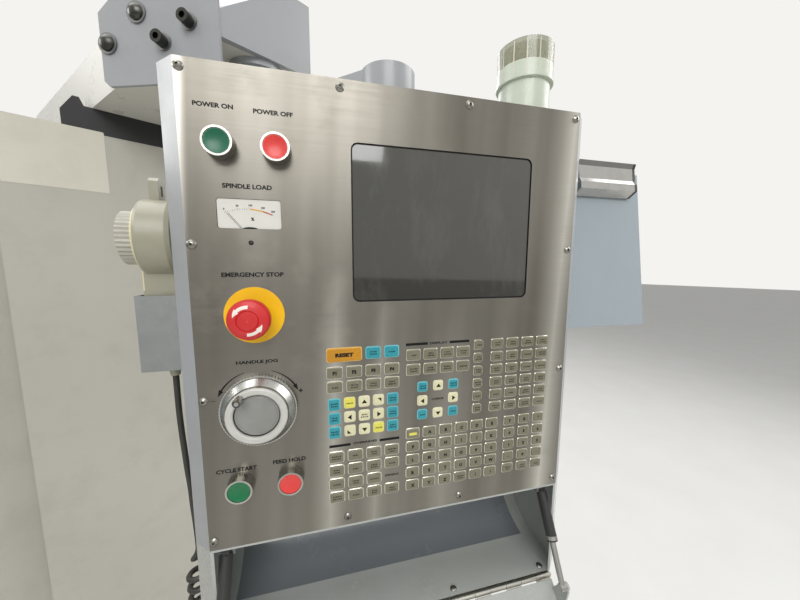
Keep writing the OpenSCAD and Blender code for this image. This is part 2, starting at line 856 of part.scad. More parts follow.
module tool_changer_slide() {
    x = -changer_x;
    color(casting_grey) difference() {
        union() {
            block([x - 90, beam_y0 - 40, beam_z0 - 40], [x + 90, beam_y0 - seat_gap, beam_z1 + 20]);
            block([x - 90, beam_y0 - 40, beam_z1 + seat_gap], [x + 90, beam_y1 - 5, beam_z1 + 20]);
            block([x - 45, 0, beam_z0 - 30], [x + 45, beam_y0 - 40, beam_z0 + 20]);
            translate([x, 0, pocket_z + 30]) cylinder(r = 60, h = beam_z0 + 40 - pocket_z - 30);
        }
        translate([x, 0, pocket_z]) cylinder(r = pin_r + running_gap, h = 150);
    }
}

module tool_carousel() {
    color("#3a3d40") translate([-changer_x, 0, pocket_z]) {
        difference() {
            union() {
                translate([0, 0, -8]) cylinder(r = pocket_circle_r + 25, h = 16, $fn = 96);
                cylinder(r = 45, h = 30 - seat_gap);
                cylinder(r = pin_r, h = 140);
                translate([0, 0, 8]) cylinder(r1 = pocket_circle_r - 60, r2 = 60, h = 14);
            }
            for (i = [0:pockets - 1])
                rotate([0, 0, i * 360 / pockets]) translate([pocket_circle_r, 0, -9]) {
                    cylinder(r = pocket_r, h = 18);
                    block([0, -pocket_r * 0.8, 0], [60, pocket_r * 0.8, 18]);
                }
        }
    }
}

// Boom over the right front corner
module boom_solid(in) {
    a = boom_plan[0];
    b = boom_plan[1];
    c = boom_plan[2];
    difference() {
        translate([0, 0, boom_z + in]) linear_extrude(boom_h - 2 * in)
            polygon([a + [in, -in], b + [in, in], c + [in * 0.5, in], boom_plan[3] + [-in, in], boom_plan[4] + [-in, -in]]);
        slope_cut(a + [in, -in], b + [in, in], boom_z + boom_wall_h - in * 0.4);
        slope_cut(b + [in, in], c + [in * 0.5, in], boom_z + boom_wall_h + 20 - in * 0.4);
    }
}

// Takes off what lies above a slope of 45 degrees that rises inwards from an edge
module slope_cut(p, q, z) {
    d = q - p;
    translate([p[0], p[1], z]) rotate([0, 0, atan2(d[1], d[0])]) rotate([45, 0, 0])
        translate([-400, -600, 0]) cube([norm(d) + 800, 1200, 500]);
}

module boom_beam() {
    low = [boom_plan[2][0], boom_plan[2][1] - 60, boom_z - 1];
    far = [boom_plan[3][0] + 10, notch_y, notch_z];
    color(boom_white) difference() {
        boom_solid(0);
        block(low, far);
        difference() {
            boom_solid(boom_sheet);
            block(low - [boom_sheet, 50, 0], far + [0, boom_sheet, boom_sheet]);
        }
        translate([boom_plan[4][0] - 90, boom_plan[4][1] - 20, boom_z + 70]) rotate([-90, 0, 0]) cylinder(r = 24, h = 30);
    }
}

// The face on the boom's front left corner: along it to the right, then up, then out
module at_boom_face() {
    b = boom_plan[1];
    d = boom_plan[2] - b;
    translate([b[0], b[1], boom_z]) rotate([0, 0, atan2(d[1], d[0])]) rotate([90, 0, 0]) children();
}

module boom_bracket() {
    slope = boom_wall_h + 20;
    color(pendant_grey) at_boom_face() difference() {
        linear_extrude(plate_t) polygon([
            [-plate_left, 8], [-plate_left + 8, 0], [plate_right, 0], [plate_right, boom_h],
            [boom_h - slope, boom_h], [-plate_left, slope + 2]
        ]);
        for (p = bolt_places) translate([p[0], p[1], -1]) cylinder(r = bolt_r + screw_gap, h = plate_t + 2);
    }
}

module boom_bolts() {
    color("#8b8d90") at_boom_face() for (i = [0:3]) translate([bolt_places[i][0], bolt_places[i][1], 0]) {
        cylinder(r = bolt_r, h = plate_t + 2);
        if (i < 2) {
            translate([0, 0, plate_t]) cylinder(r = 15, h = 2.5);
            translate([0, 0, plate_t + 2.5]) intersection() {
                cylinder(r = 11.5, h = 7);
                translate([0, 0, -8]) sphere(r = 15);
            }
        } else {
            translate([0, 0, plate_t]) cylinder(r = 12, h = 2.5);
            translate([0, 0, plate_t + 2.5]) difference() {
                cylinder(r = 9, h = 13);
                translate([0, 0, 7]) cylinder(r = 5, h = 7, $fn = 6);
            }
        }
    }
}

module boom_foot() {
    x0 = foot_x[0];
    x1 = foot_x[1];
    color(dark) {
        translate([0, -front_reach + foot_d, 0]) rotate([90, 0, 0]) linear_extrude(foot_d) polygon([
            [x0, top_z], [x0, boom_z - 13], [x0 + 17, boom_z + 13], [x0 + 25, boom_z + 13],
            [x0 + 30, boom_z], [x1, boom_z], [x1, top_z]
        ]);
        block([half_w - top_flange + 5, -640, top_z], [boom_plan[4][0], -520, boom_z]);
    }
}

module swivel_arm() {
    d = post - pivot;
    run = norm(d);
    color(pendant_grey) difference() {
        union() {
            translate([post[0], post[1], arm_z0]) cylinder(r = boss_r, h = arm_side);
            translate([post[0], post[1], arm_z0]) cylinder(r = post_r, h = notch_z - arm_z0);
            translate([post[0], post[1], notch_z - 10]) cylinder(r = 46, h = 10);
            translate([pivot[0], pivot[1], arm_z0]) cylinder(r = boss_r, h = arm_side);
            translate([pivot[0], pivot[1], arm_z0]) rotate([0, 0, atan2(d[1], d[0])])
                block([0, -arm_side / 2, 0], [run, arm_side / 2, arm_side]);
        }
        translate([pivot[0], pivot[1], arm_z0 - 1]) cylinder(r = pin_r + running_gap, h = arm_side + 2);
    }
}

// The pendant's own frame: its pin is the Z axis, and +Y runs into the panel
module in_pendant() {
    translate([pivot[0], pivot[1], pendant_top]) rotate([0, 0, -pendant_yaw]) children();
}

// Across, depth and height from the panel's top left corner
module at_corner() {
    in_pendant() translate([-panel_w / 2, -pivot_d, 0]) children();
}

// On the panel's face: right, up and out, from a place given across and down
module at_panel(p) {
    at_corner() translate([p[0], 0, -p[1]]) rotate([90, 0, 0]) children();
}

// How far across the inside of the bevel lies at a depth, for a sheet of thickness s
function bevel_in(y, s) = (s * norm([bevel_w, bevel_d]) - y * bevel_w) / bevel_d;

// Plan of the bevelled case
module case_plan() {
    w = panel_w;
    polygon([[0, 0], [w, 0], [w + bevel_w, bevel_d], [w + bevel_w, housing_d],
             [-bevel_w, housing_d], [-bevel_w, bevel_d]]);
}

// Plan of the space inside the case, from a depth of front
module case_room(front, back) {
    w = panel_w;
    x0 = bevel_in(front, skin);
    y1 = (skin * norm([bevel_w, bevel_d]) + (bevel_w - skin) * bevel_d) / bevel_w;
    polygon([[x0, front], [w - x0, front], [w + bevel_w - skin, y1], [w + bevel_w - skin, back],
             [-bevel_w + skin, back], [-bevel_w + skin, y1]]);
}

module pendant_housing() {
    w = panel_w;
    inner = panel_t + skin;
    color(pendant_grey) {
        at_corner() difference() {
            translate([0, 0, -panel_h]) linear_extrude(panel_h) case_plan();
            block([0, -1, -panel_h - 1], [w, panel_t, 1]);
            translate([0, 0, -panel_h + skin]) linear_extrude(panel_h - 2 * skin)
                case_room(inner, housing_d + 1);
            block([flange_w, 0, -panel_h + flange_w], [w - flange_w, inner + 1, -flange_w]);
            for (i = [0:3], j = [0:3]) if (on_rim(i, j))
                translate([screw_cols[i], -1, -screw_rows[j]]) rotate([-90, 0, 0]) cylinder(r = 2.5, h = inner + 2);
        }
        in_pendant() {
            cylinder(r = hub_r, h = hub_h);
            cylinder(r = pin_r, h = hub_h + 2 * seat_gap + arm_side + cap_h);
            translate([0, 0, hub_h + 2 * seat_gap + arm_side]) cylinder(r = pin_r + 10, h = cap_h);
        }
    }
}

module rear_cover() {
    vents = 8;
    color(pendant_grey) at_corner() {
        difference() {
            block([-bevel_w, housing_d, -panel_h], [panel_w + bevel_w, housing_d + skin, 0]);
            for (i = [0:vents - 1])
                block([150, housing_d - 1, -150 - 12 * i], [310, housing_d + skin + 1, -145 - 12 * i]);
        }
        translate([gland_at[0], housing_d + skin, -gland_at[1]]) rotate([-90, 0, 0])
            cylinder(r = gland_r, h = gland_l);
    }
}

// Whether a screw stands at a column and row of the panel's grid
function on_rim(i, j) = i == 0 || i == 3 || j == 0 || j == 3;

module control_panel() {
    color(steel) at_panel([0, 0]) difference() {
        translate([0, 0, -panel_t]) linear_extrude(panel_t) difference() {
            translate([0, -panel_h]) square([panel_w, panel_h]);
            translate([display_at[0], -display_at[1]]) round_rect([display_w, display_h], 8);
            translate([meter_at[0], -meter_at[1]]) round_rect(meter_size, 3);
            translate([lamp_at[0], -lamp_at[1]]) circle(2.5);
            for (p = [power_on, power_off, cycle_start, feed_hold, stop_at])
                translate([p[0], -p[1]]) circle(barrel_r + screw_gap);
            translate([dial_at[0], -dial_at[1]]) circle(5 + screw_gap);
            for (i = [0:3], j = [0:3]) if (on_rim(i, j))
                translate([screw_cols[i], -screw_rows[j]]) circle(2.5);
        }
    }
}

module panel_screw() {
    translate([0, 0, -panel_t - skin]) cylinder(r = 2.2, h = panel_t + skin + 1);
    difference() {
        intersection() {
            cylinder(r = 4.75, h = 2.8);
            translate([0, 0, -3.4]) sphere(r = 6.2);
        }
        translate([0, 0, 1.2]) cylinder(r = 1.6, h = 3, $fn = 6);
    }
}

module panel_screws() {
    color("#c8c9c8") for (i = [0:3], j = [0:3]) if (on_rim(i, j))
        at_panel([screw_cols[i], screw_rows[j]]) panel_screw();
}

module display_unit() {
    color("#1d2226") at_panel(display_at) {
        translate([0, 0, -panel_t - 40]) linear_extrude(40) square([display_w + 20, display_h + 20], center = true);
        translate([0, 0, -panel_t]) linear_extrude(panel_t - 1)
            round_rect([display_w - 2 * seat_gap, display_h - 2 * seat_gap], 8 - seat_gap);
    }
}

module load_meter() {
    color("#e4e2d8") at_panel(meter_at) {
        translate([0, 0, -panel_t - 28]) linear_extrude(28) square(meter_size + [6, 6], center = true);
        translate([0, 0, -panel_t]) linear_extrude(panel_t - 0.8)
            round_rect(meter_size - [2 * seat_gap, 2 * seat_gap], 3 - seat_gap);
    }
}

// A key: a low rim and a raised cap
module key(size) {
    linear_extrude(key_h * 0.4) cut_rect(size, 2.4);
    linear_extrude(key_h) cut_rect(size - [3.2, 3.2], 1.6);
}

module key_block(b, left_out) {
    for (i = [0:b[1][0] - 1], j = [0:b[1][1] - 1]) if ([i, j] != left_out)
        at_panel(b[0] + [i * b[2][0], keypad_v + j * b[2][1]]) key(b[3]);
}

module grey_keys() {
    color("#85826f") for (k = [0:len(grey_blocks) - 1])
        key_block(grey_blocks[k], k == 1 ? spindle_label_key : [-1, -1]);
}

module colour_keys() {
    color("#3b9aa3") for (k = [0:len(colour_blocks) - 1])
        key_block(colour_blocks[k], k == 5 ? [1, 1] : [-1, -1]);
}

// A switch's bezel, barrel, nut and contact block, with the well that its button moves in
module switch_body(foot, collar_r, collar_h, well_r) {
    difference() {
        union() {
            translate([0, 0, foot]) cylinder(r1 = collar_r, r2 = collar_r - 0.8, h = collar_h - foot);
            translate([0, 0, -panel_t - 22]) cylinder(r = barrel_r, h = panel_t + 22 + foot + 0.1);
            translate([0, 0, -panel_t - 6]) cylinder(r = barrel_r + 3, h = 6, $fn = 6);
            block([-contact_side / 2, -contact_side / 2, -panel_t - 50], [contact_side / 2, contact_side / 2, -panel_t - 22]);
        }
        translate([0, 0, foot + 0.6]) cylinder(r = well_r, h = collar_h);
        translate([0, 0, -panel_t - 21]) cylinder(r = stem_r + seat_gap, h = collar_h + 30);
    }
}

module switch_bodies() {
    color("#c4c6c6") {
        for (p = button_places) at_panel(p) switch_body(0, bezel_r, bezel_h, cap_r + seat_gap);
        at_panel(stop_at) switch_body(1.5, barrel_r + 4, 9.5, barrel_r + 1);
        at_panel(dial_at) difference() {
            union() {
                translate([0, 0, -panel_t - 26]) cylinder(r = encoder_r, h = 26);
                translate([0, 0, -panel_t]) cylinder(r = 5, h = panel_t + 0.3);
            }
            translate([0, 0, -panel_t - 20]) cylinder(r = 3 + running_gap, h = 40);
        }
    }
}

// A push button with a dished cap on a stem
module push_button(shade) {
    foot = 0.6 + button_travel + seat_gap;
    top = bezel_h - 0.6;
    color(shade) difference() {
        union() {
            translate([0, 0, foot]) cylinder(r = cap_r, h = top - foot);
            translate([0, 0, -panel_t - 20 + button_travel]) cylinder(r = stem_r, h = panel_t + 20 - button_travel + foot + 1);
        }
        translate([0, 0, top + 28]) sphere(r = 30);
    }
}

module power_on_button() {
    at_panel(power_on) push_button("#1f7a58");
}

module power_off_button() {
    at_panel(power_off) push_button("#e0433f");
}

module cycle_start_button() {
    at_panel(cycle_start) push_button("#0b6b3d");
}

module feed_hold_button() {
    at_panel(feed_hold) push_button("#e2231f");
}

module stop_backplate() {
    color("#fdb90a") at_panel(stop_at) difference() {
        cylinder(r = stop_plate_r, h = 1.5);
        translate([0, 0, -1]) cylinder(r = barrel_r + screw_gap, h = 4);
    }
}

module stop_button() {
    under = 9.5 + stop_travel + 1;
    stem_l = panel_t + 19 - stop_travel;
    color("#cf2a2a") at_panel(stop_at) {
        translate([0, 0, -stem_l]) cylinder(r = stem_r, h = stem_l + under + 1);
        rotate_extrude() polygon([
            [0, under], [barrel_r, under], [barrel_r + 1, under + 3], [stop_r - 3, under + 5],
            [stop_r, under + 9], [stop_r, under + 15], [stop_r - 1.5, under + 18.5],
            [stop_r - 6, under + 21], [stop_r - 9.5, under + 21.6], [stop_r - 10.2, under + 20.8],
            [stop_r - 11, under + 21.8], [0, under + 22.4]
        ]);
    }
}

// Outline of a knurled ring with cuts round its edge
module knurl(r, cuts, depth) {
    polygon([for (i = [0:2 * cuts - 1]) let (a = i * 180 / cuts) (i % 2 == 0 ? r : r - depth) * [cos(a), sin(a)]]);
}

module jog_dial() {
    top = dial_h;
    color("#bfbdb4") at_panel(dial_at) {
        translate([0, 0, -panel_t - 18]) cylinder(r = 3, h = panel_t + 19);
        translate([0, 0, 0.6]) linear_extrude(5.4) knurl(dial_r, 72, 0.9);
        rotate_extrude() polygon([
            [0, 0.6], [dial_r - 1.5, 0.6], [dial_r - 1.5, 6], [dial_r - 2.5, 8.5], [dial_r - 8, top - 7],
            [dial_r - 9.5, top - 3], [dial_r - 11, top - 2], [dial_r - 15, top - 2], [dial_r - 16.5, top - 3.5],
            [dial_r - 17, top - 8], [0, top - 8]
        ]);
        translate([dial_knob_at[0], dial_knob_at[1], top - 4]) cylinder(r = 2, h = 13);
    }
}

module jog_knob() {
    color("#d7d7d4") at_panel(dial_at) translate([dial_knob_at[0], dial_knob_at[1], dial_h - 2 + seat_gap])
        difference() {
            union() {
                cylinder(r1 = knob_r - 1, r2 = knob_r, h = 11);
                translate([0, 0, 11]) cylinder(r1 = knob_r, r2 = knob_r - 1, h = 2.5);
            }
            translate([0, 0, -1]) cylinder(r = 2 + running_gap, h = 12.6);
        }
}

module beacon_base() {
    color("#cfd3c3") at_corner() translate([beacon_at[0], beacon_at[1], 0]) {
        cylinder(r = beacon_r - 3, h = beacon_joint);
        cylinder(r = beacon_r + 2, h = 4);
        translate([0, 0, beacon_joint]) cylinder(r = beacon_r - 6, h = 6);
        translate([0, 0, beacon_joint]) cylinder(r = 11, h = beacon_h - beacon_joint - 14);
    }
}

module beacon_lens() {
    color("#dfe3d4") at_corner() translate([beacon_at[0], beacon_at[1], beacon_joint]) difference() {
        cylinder(r = beacon_r, h = beacon_h - beacon_joint);
        translate([0, 0, -1]) cylinder(r = beacon_r - 4, h = beacon_h - beacon_joint - 2);
    }
}

// Clipboard: x across, y into the board, z up from its top edge, leaning back
module on_board() {
    at_corner() translate([board_u, board_top[0], -board_top[1]]) rotate([-board_lean, 0, 0]) children();
}

module clipboard() {
    clip_x = (board_w - clip_w) / 2;
    color("#a8b0b3") {
        on_board() block([0, 0, -board_h], [board_w, board_t, 0]);
        at_corner() intersection() {
            block([board_u - skin, 0, -board_top[1] - board_h + 30], [board_u, housing_d - 20, -board_top[1] - 30]);
            translate([board_u, board_top[0], -board_top[1]]) rotate([-board_lean, 0, 0])
                block([-skin - 1, 0, -board_h - 50], [board_t, housing_d, 50]);
        }
    }
    color("#d6d6d4") on_board() for (x = [clip_x + 8, clip_x + clip_w - 11])
        difference() {
            block([x, -12, -30], [x + 3, 0, -18]);
            translate([x - 1, -9, -22]) rotate([0, 90, 0]) cylinder(r = 2 + running_gap, h = 5);
        }
}

module clip_lever() {
    clip_x = (board_w - clip_w) / 2;
    pin_y = -9;
    color("#d6d6d4") on_board() translate([clip_x, 0, -22]) {
        translate([0, pin_y, 0]) rotate([90, 0, 90]) linear_extrude(clip_w) polygon([
            [-6, 2], [-4, 4], [-4, 24], [-7, 30], [-9, 30], [-6, 23], [-6, 4], [-9, -2], [-9, -12],
            [5, -19], [8.7, -18], [8.7, -16], [-6.5, -10], [-6.5, -3]
        ]);
        translate([5, pin_y, 0]) rotate([0, 90, 0]) cylinder(r = 2, h = clip_w - 10);
        for (x = [18, clip_w - 30])
            block([x, pin_y - 7, -2], [x + 12, pin_y + 1, 2]);
    }
}

// Remote handle in its pocket on the pendant's left side
module handle_pocket() {
    t = 2;
    color("#b7b9b6") at_corner() difference() {
        block([pocket_u[0], pocket_d[0], -pocket_v[1]], [pocket_u[1], pocket_d[1], -pocket_v[0]]);
        block([pocket_u[0] + t, pocket_d[0] + t, -pocket_v[1] - 1], [pocket_u[1] - t, pocket_d[1] - t, -pocket_v[0] + 1]);
    }
}

// The hanging handle's own frame: turned a little in its pocket, with its grip on the Z axis
module at_handle() {
    at_corner() translate([handle_at[0], handle_at[1], 0]) rotate([0, 0, handle_turn]) children();
}

module remote_handle() {
    g = grip_side / 2;
    rim = -pocket_v[0] + seat_gap;
    drum_top = -drum_v + remote_r;
    color("#b8b5a5") at_handle() {
        difference() {
            union() {
                translate([drum_end, 0, -drum_v]) rotate([0, -90, 0]) {
                    rotate_extrude() polygon([
                        [0, 0], [remote_r - 6, 0], [remote_r - 1.8, 1.8], [remote_r, 6], [remote_r, drum_w - 3],
                        [remote_r - 2, drum_w], [0, drum_w]
                    ]);
                    cylinder(r = remote_r - 7, h = drum_w + drum_ring);
                }
                block([-g, -g, -grip_end], [g, g, -drum_v]);
            }
            translate([drum_end + 12 - drum_w, 0, -drum_v]) rotate([0, -90, 0])
                cylinder(r = 5 + running_gap, h = 20);
        }
        block([-10, g - 1, rim], [10, g + 4, rim + 14]);
        translate([0, 0, -grip_end - 26]) cylinder(r1 = lead_r + 1.5, r2 = 9, h = 26);
        translate([-8, 2.5, drum_top + 9]) rotate([90, 0, 90]) linear_extrude(9) difference() {
            cut_rect([24, 28], 4);
            translate([0, 1]) cut_rect([8, 12], 2);
        }
    }
}

module remote_wheel() {
    z0 = drum_w + drum_ring + wheel_gap;
    color("#c9c7ba") at_handle() translate([drum_end, 0, -drum_v]) rotate([0, -90, 0]) {
        translate([0, 0, z0]) linear_extrude(wheel_w) knurl(29, 36, 1.2);
        translate([0, 0, z0 + wheel_w]) cylinder(r1 = 27, r2 = 25, h = 1.5);
        translate([0, 0, drum_w - 10]) cylinder(r = 5, h = z0 - drum_w + 11);
    }
}

// The handle's cord: frames carried along a route, then rings of points joined by faces
function direction(p, i) =
    let (a = p[max(i - 1, 0)], b = p[min(i + 1, len(p) - 1)]) (b - a) / norm(b - a);

function side_ways(p, i) =
    let (t = direction(p, i), before = i == 0 ? [1, 0, 0] : side_ways(p, i - 1), s = before - (before * t) * t)
    s / norm(s);

function ring(p, i, r, n) =
    let (t = direction(p, i), s = side_ways(p, i), up = cross(t, s))
    [for (k = [0:n - 1]) p[i] + r * (cos(360 * k / n) * s + sin(360 * k / n) * up)];

module swept(p, r, n = 10) {
    rings = len(p);
    points = [for (i = [0:rings - 1]) each ring(p, i, r, n)];
    walls = [for (i = [0:rings - 2], k = [0:n - 1])
        let (m = (k + 1) % n, a = i * n, b = (i + 1) * n) each [[a + k, b + k, b + m], [a + k, b + m, a + m]]];
    polyhedron(points, concat([[for (k = [0:n - 1]) k]], walls, [[for (k = [n - 1:-1:0]) (rings - 1) * n + k]]));
}

module handle_lead() {
    color(dark) at_corner() {
        swept(lead_start, lead_r);
        swept(lead_end, lead_r);
    }
}

module handle_curl() {
    color(dark) at_corner() swept(curl_route, curl_d / 2, 12);
}

// Storage bin with a drop-down flap on two struts
// The bin seen from its side, depth across, with the floor bent up into the back
module bin_side_profile(in) {
    r = bin_bend_r + skin - in;
    low = -bin_z + in;
    high = -panel_h - in;
    back = housing_d - in;
    intersection() {
        translate([-50, low]) square([back + 50, high - low]);
        union() {
            translate([-50, low]) square([back - r + 50, high - low]);
            translate([-50, low + r]) square([back + 50, high - low]);
            translate([back - r, low + r]) circle(r, $fn = 96);
        }
    }
}

module storage_bin() {
    color(bin_cream) at_corner() difference() {
        intersection() {
            translate([0, 0, -bin_z]) linear_extrude(bin_h) case_plan();
            translate([panel_w / 2, 0, 0]) along_x(2 * panel_w) bin_side_profile(0);
        }
        intersection() {
            translate([0, 0, -bin_z]) linear_extrude(bin_h) case_room(-1, housing_d);
            translate([panel_w / 2, 0, 0]) along_x(2 * panel_w) bin_side_profile(skin);
        }
    }
    color(steel) at_corner() {
        translate([1, hinge[0], -hinge[1]]) rotate([0, 90, 0]) cylinder(r = hinge_pin_r, h = panel_w - 2);
        for (i = [0:2:17]) {
            translate([4 + i * knuckle_l, hinge[0], -hinge[1]]) rotate([0, 90, 0])
                cylinder(r = knuckle_r, h = knuckle_l - 2 * seat_gap);
            block([4 + i * knuckle_l, hinge[0], -bin_z - leaf_t],
                  [4 + (i + 1) * knuckle_l - 2 * seat_gap, 2 * seat_gap, -bin_z]);
        }
        block([4, seat_gap, -bin_z - leaf_t], [panel_w - 4, 16, -bin_z + skin / 2]);
    }
    color(bin_cream) for (s = [0, 1]) bin_side(s) {
        translate([strut_us[0] + 8.5, 0, 0]) rotate([90, 0, 90]) linear_extrude(skin) polygon([
            [strut_top[0] - 12, -panel_h - skin / 2], [strut_top[0] + 34, -panel_h - skin / 2],
            [strut_top[0] + 7, -strut_top[1] - 7], [strut_top[0] - 7, -strut_top[1] - 7]
        ]);
        translate([strut_us[0] - 6.5, strut_top[0], -strut_top[1]]) rotate([0, 90, 0])
            cylinder(r = strut_stud_r, h = 15.5);
    }
}

// Both ends of the bin: as drawn on the left, and mirrored on the right
module bin_side(s) {
    at_corner() translate([s * panel_w, 0, 0]) mirror([s, 0, 0]) children();
}

// On the flap: across, from the tip's side towards the hinge, and out of its inner face
module on_flap() {
    at_corner() translate([0, hinge[0], -hinge[1]]) rotate([flap_droop, 0, 0]) children();
}

module bin_flap() {
    z1 = flap_z0 + skin;
    color(bin_cream) {
        on_flap() {
            block([4, -flap_l, flap_z0], [panel_w - 4, -knuckle_r - 1.5, z1]);
            block([4, -flap_l, flap_z0], [panel_w - 4, -flap_l + skin, z1 + 5]);
        }
        for (s = [0, 1]) bin_side(s) translate([0, hinge[0], -hinge[1]]) rotate([flap_droop, 0, 0])
            translate([strut_us[0] - eye_w / 2 - seat_gap - ear_t, 0, 0]) rotate([90, 0, 90]) linear_extrude(ear_t) {
                polygon([[-44, z1 - 1], [-14, z1 - 1], [-stay_out[0] + eye_r, stay_out[1]],
                         [-stay_out[0] - eye_r - 2, stay_out[1]]]);
                translate([-stay_out[0], stay_out[1]]) circle(eye_r);
            }
    }
    color(steel) on_flap() for (i = [1:2:17])
        difference() {
            union() {
                translate([4 + i * knuckle_l, 0, 0]) rotate([0, 90, 0])
                    cylinder(r = knuckle_r, h = knuckle_l - 2 * seat_gap);
                block([4 + i * knuckle_l, -22, flap_z0 - leaf_t], [4 + (i + 1) * knuckle_l - 2 * seat_gap, 0, flap_z0]);
            }
            translate([3 + i * knuckle_l, 0, 0]) rotate([0, 90, 0])
                cylinder(r = hinge_pin_r + running_gap, h = knuckle_l + 2);
        }
}

// Along a strut from its top pivot: x across, z up against the strut's run
module on_strut(s) {
    bin_side(s) translate([strut_us[0], strut_top[0], -strut_top[1]]) rotate([strut_angle, 0, 0]) children();
}

module strut_tubes() {
    color(dark) for (s = [0, 1]) on_strut(s) difference() {
        union() {
            translate([0, 0, -strut_tube_l]) cylinder(r = strut_r, h = strut_tube_l - 9);
            translate([-6, 0, 0]) rotate([0, 90, 0]) cylinder(r = 6.5, h = 12);
            block([-4, -4, -12], [4, 4, -4]);
        }
        translate([-8, 0, 0]) rotate([0, 90, 0]) cylinder(r = strut_stud_r + running_gap, h = 16);
        translate([0, 0, -strut_tube_l - 1]) cylinder(r = strut_rod_r + running_gap, h = strut_tube_l - 18);
    }
}

module strut_rods() {
    color("#c9cacb") for (s = [0, 1]) on_strut(s) translate([0, 0, -strut_l]) {
        cylinder(r = strut_rod_r, h = strut_l - 26);
        translate([-eye_w / 2, 0, 0]) rotate([0, 90, 0]) cylinder(r = eye_r, h = eye_w);
    }
}

base_casting();
leveling_feet();
column_casting();
guide_rails();
chip_pan();
coolant_tank();
coolant_pump();
left_side_panel();
right_side_panel();
left_front_panel();
right_front_panel();
front_apron();
door_header();
electrical_cabinet();
tool_changer_beam();
boom_beam();
boom_bracket();
boom_bolts();
boom_foot();
swivel_arm();
saddle_casting();
work_table();
spindle_head();
spindle_motor();
spindle();
tool_changer_slide();
tool_carousel();
left_door();
left_window();
right_door();
right_window();
pendant_housing();
rear_cover();
control_panel();
panel_screws();
display_unit();
load_meter();
grey_keys();
colour_keys();
switch_bodies();
stop_backplate();
beacon_base();
beacon_lens();
clipboard();
handle_pocket();
remote_handle();
handle_lead();
handle_curl();
storage_bin();
power_on_button();
power_off_button();
cycle_start_button();
feed_hold_button();
stop_button();
jog_dial();
jog_knob();
remote_wheel();
clip_lever();
bin_flap();
strut_tubes();
strut_rods();
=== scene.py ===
"""CNC machining centre with a swivelling control pendant: the dressed model.

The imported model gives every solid. This script adds the camera, the studio, the handle's cord, the
keys, the prints and the small fittings, and gives each surface its finish.
"""

from __future__ import annotations

import json
import logging
import math
from dataclasses import dataclass, field
from enum import Enum
from typing import Any, Sequence

import bmesh
import bpy
import numpy as np
from mathutils import Matrix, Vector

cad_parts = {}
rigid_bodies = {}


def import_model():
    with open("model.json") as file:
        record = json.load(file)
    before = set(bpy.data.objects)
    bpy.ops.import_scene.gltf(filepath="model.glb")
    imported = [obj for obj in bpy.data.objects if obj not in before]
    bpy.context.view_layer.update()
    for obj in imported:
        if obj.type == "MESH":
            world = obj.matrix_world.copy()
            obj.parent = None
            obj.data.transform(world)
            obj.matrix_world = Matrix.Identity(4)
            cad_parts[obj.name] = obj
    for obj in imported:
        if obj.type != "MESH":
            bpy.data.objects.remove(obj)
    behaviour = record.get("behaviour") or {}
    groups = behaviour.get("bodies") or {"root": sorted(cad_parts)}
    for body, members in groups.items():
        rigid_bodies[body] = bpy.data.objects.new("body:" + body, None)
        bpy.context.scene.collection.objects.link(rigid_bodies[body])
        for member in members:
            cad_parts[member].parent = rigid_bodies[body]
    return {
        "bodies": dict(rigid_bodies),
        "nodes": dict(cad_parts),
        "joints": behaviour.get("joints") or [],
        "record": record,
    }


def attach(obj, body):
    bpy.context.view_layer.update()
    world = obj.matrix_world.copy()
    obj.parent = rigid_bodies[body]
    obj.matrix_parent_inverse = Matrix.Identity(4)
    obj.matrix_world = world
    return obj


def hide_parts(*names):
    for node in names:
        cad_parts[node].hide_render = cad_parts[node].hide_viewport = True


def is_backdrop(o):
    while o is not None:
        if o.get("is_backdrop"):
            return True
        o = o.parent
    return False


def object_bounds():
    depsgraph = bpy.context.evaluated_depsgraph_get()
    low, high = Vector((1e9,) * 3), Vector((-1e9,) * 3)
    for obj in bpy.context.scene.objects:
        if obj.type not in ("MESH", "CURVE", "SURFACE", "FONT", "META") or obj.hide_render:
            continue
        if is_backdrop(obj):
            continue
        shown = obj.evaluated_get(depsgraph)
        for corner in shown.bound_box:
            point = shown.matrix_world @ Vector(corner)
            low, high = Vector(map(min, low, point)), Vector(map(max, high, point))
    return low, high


LOG = logging.getLogger("machining_centre")
MM = 0.001
WELD_DISTANCE = 2e-7
SMOOTH_ANGLE = math.radians(35.0)
LEAST_RADIUS = 0.02
Pair = tuple[float, float]
Vec = tuple[float, float, float]
Limit = tuple[Vec, float, float]


# Places to draw in
@dataclass(frozen=True)
class Place:
    """A right-handed place to draw in, with its origin in millimetres of the machine's frame.

    Args:
        origin: where the place's zero stands.
        across: unit direction of its first axis.
        up: unit direction of its second axis. The third, out, is across x up.
    """

    origin: Vec
    across: Vec
    up: Vec

    @property
    def out(self) -> Vec:
        """Unit direction of the third axis."""
        return tuple(float(x) for x in np.cross(self.across, self.up))

    def world(self, points: np.ndarray) -> np.ndarray:
        """Points in metres of the machine's frame: origin + x across + y up + z out.

        Args:
            points: an array whose last axis holds x, y and z in millimetres.

        Returns:
            An array of the same shape.
        """
        axes = np.array([self.across, self.up, self.out])
        return (np.asarray(points, float) @ axes + np.array(self.origin)) * MM

    def moved(self, x: float, y: float, z: float = 0.0) -> "Place":
        """The same place with its origin moved in its own axes."""
        return Place(tuple(self.world(np.array([x, y, z])) / MM), self.across, self.up)

    def slab(self, way: Vec, low: float, high: float) -> Limit:
        """A zone's limits along a direction, counted from this place's origin."""
        start = float(np.dot(way, self.origin))
        return way, start + low, start + high


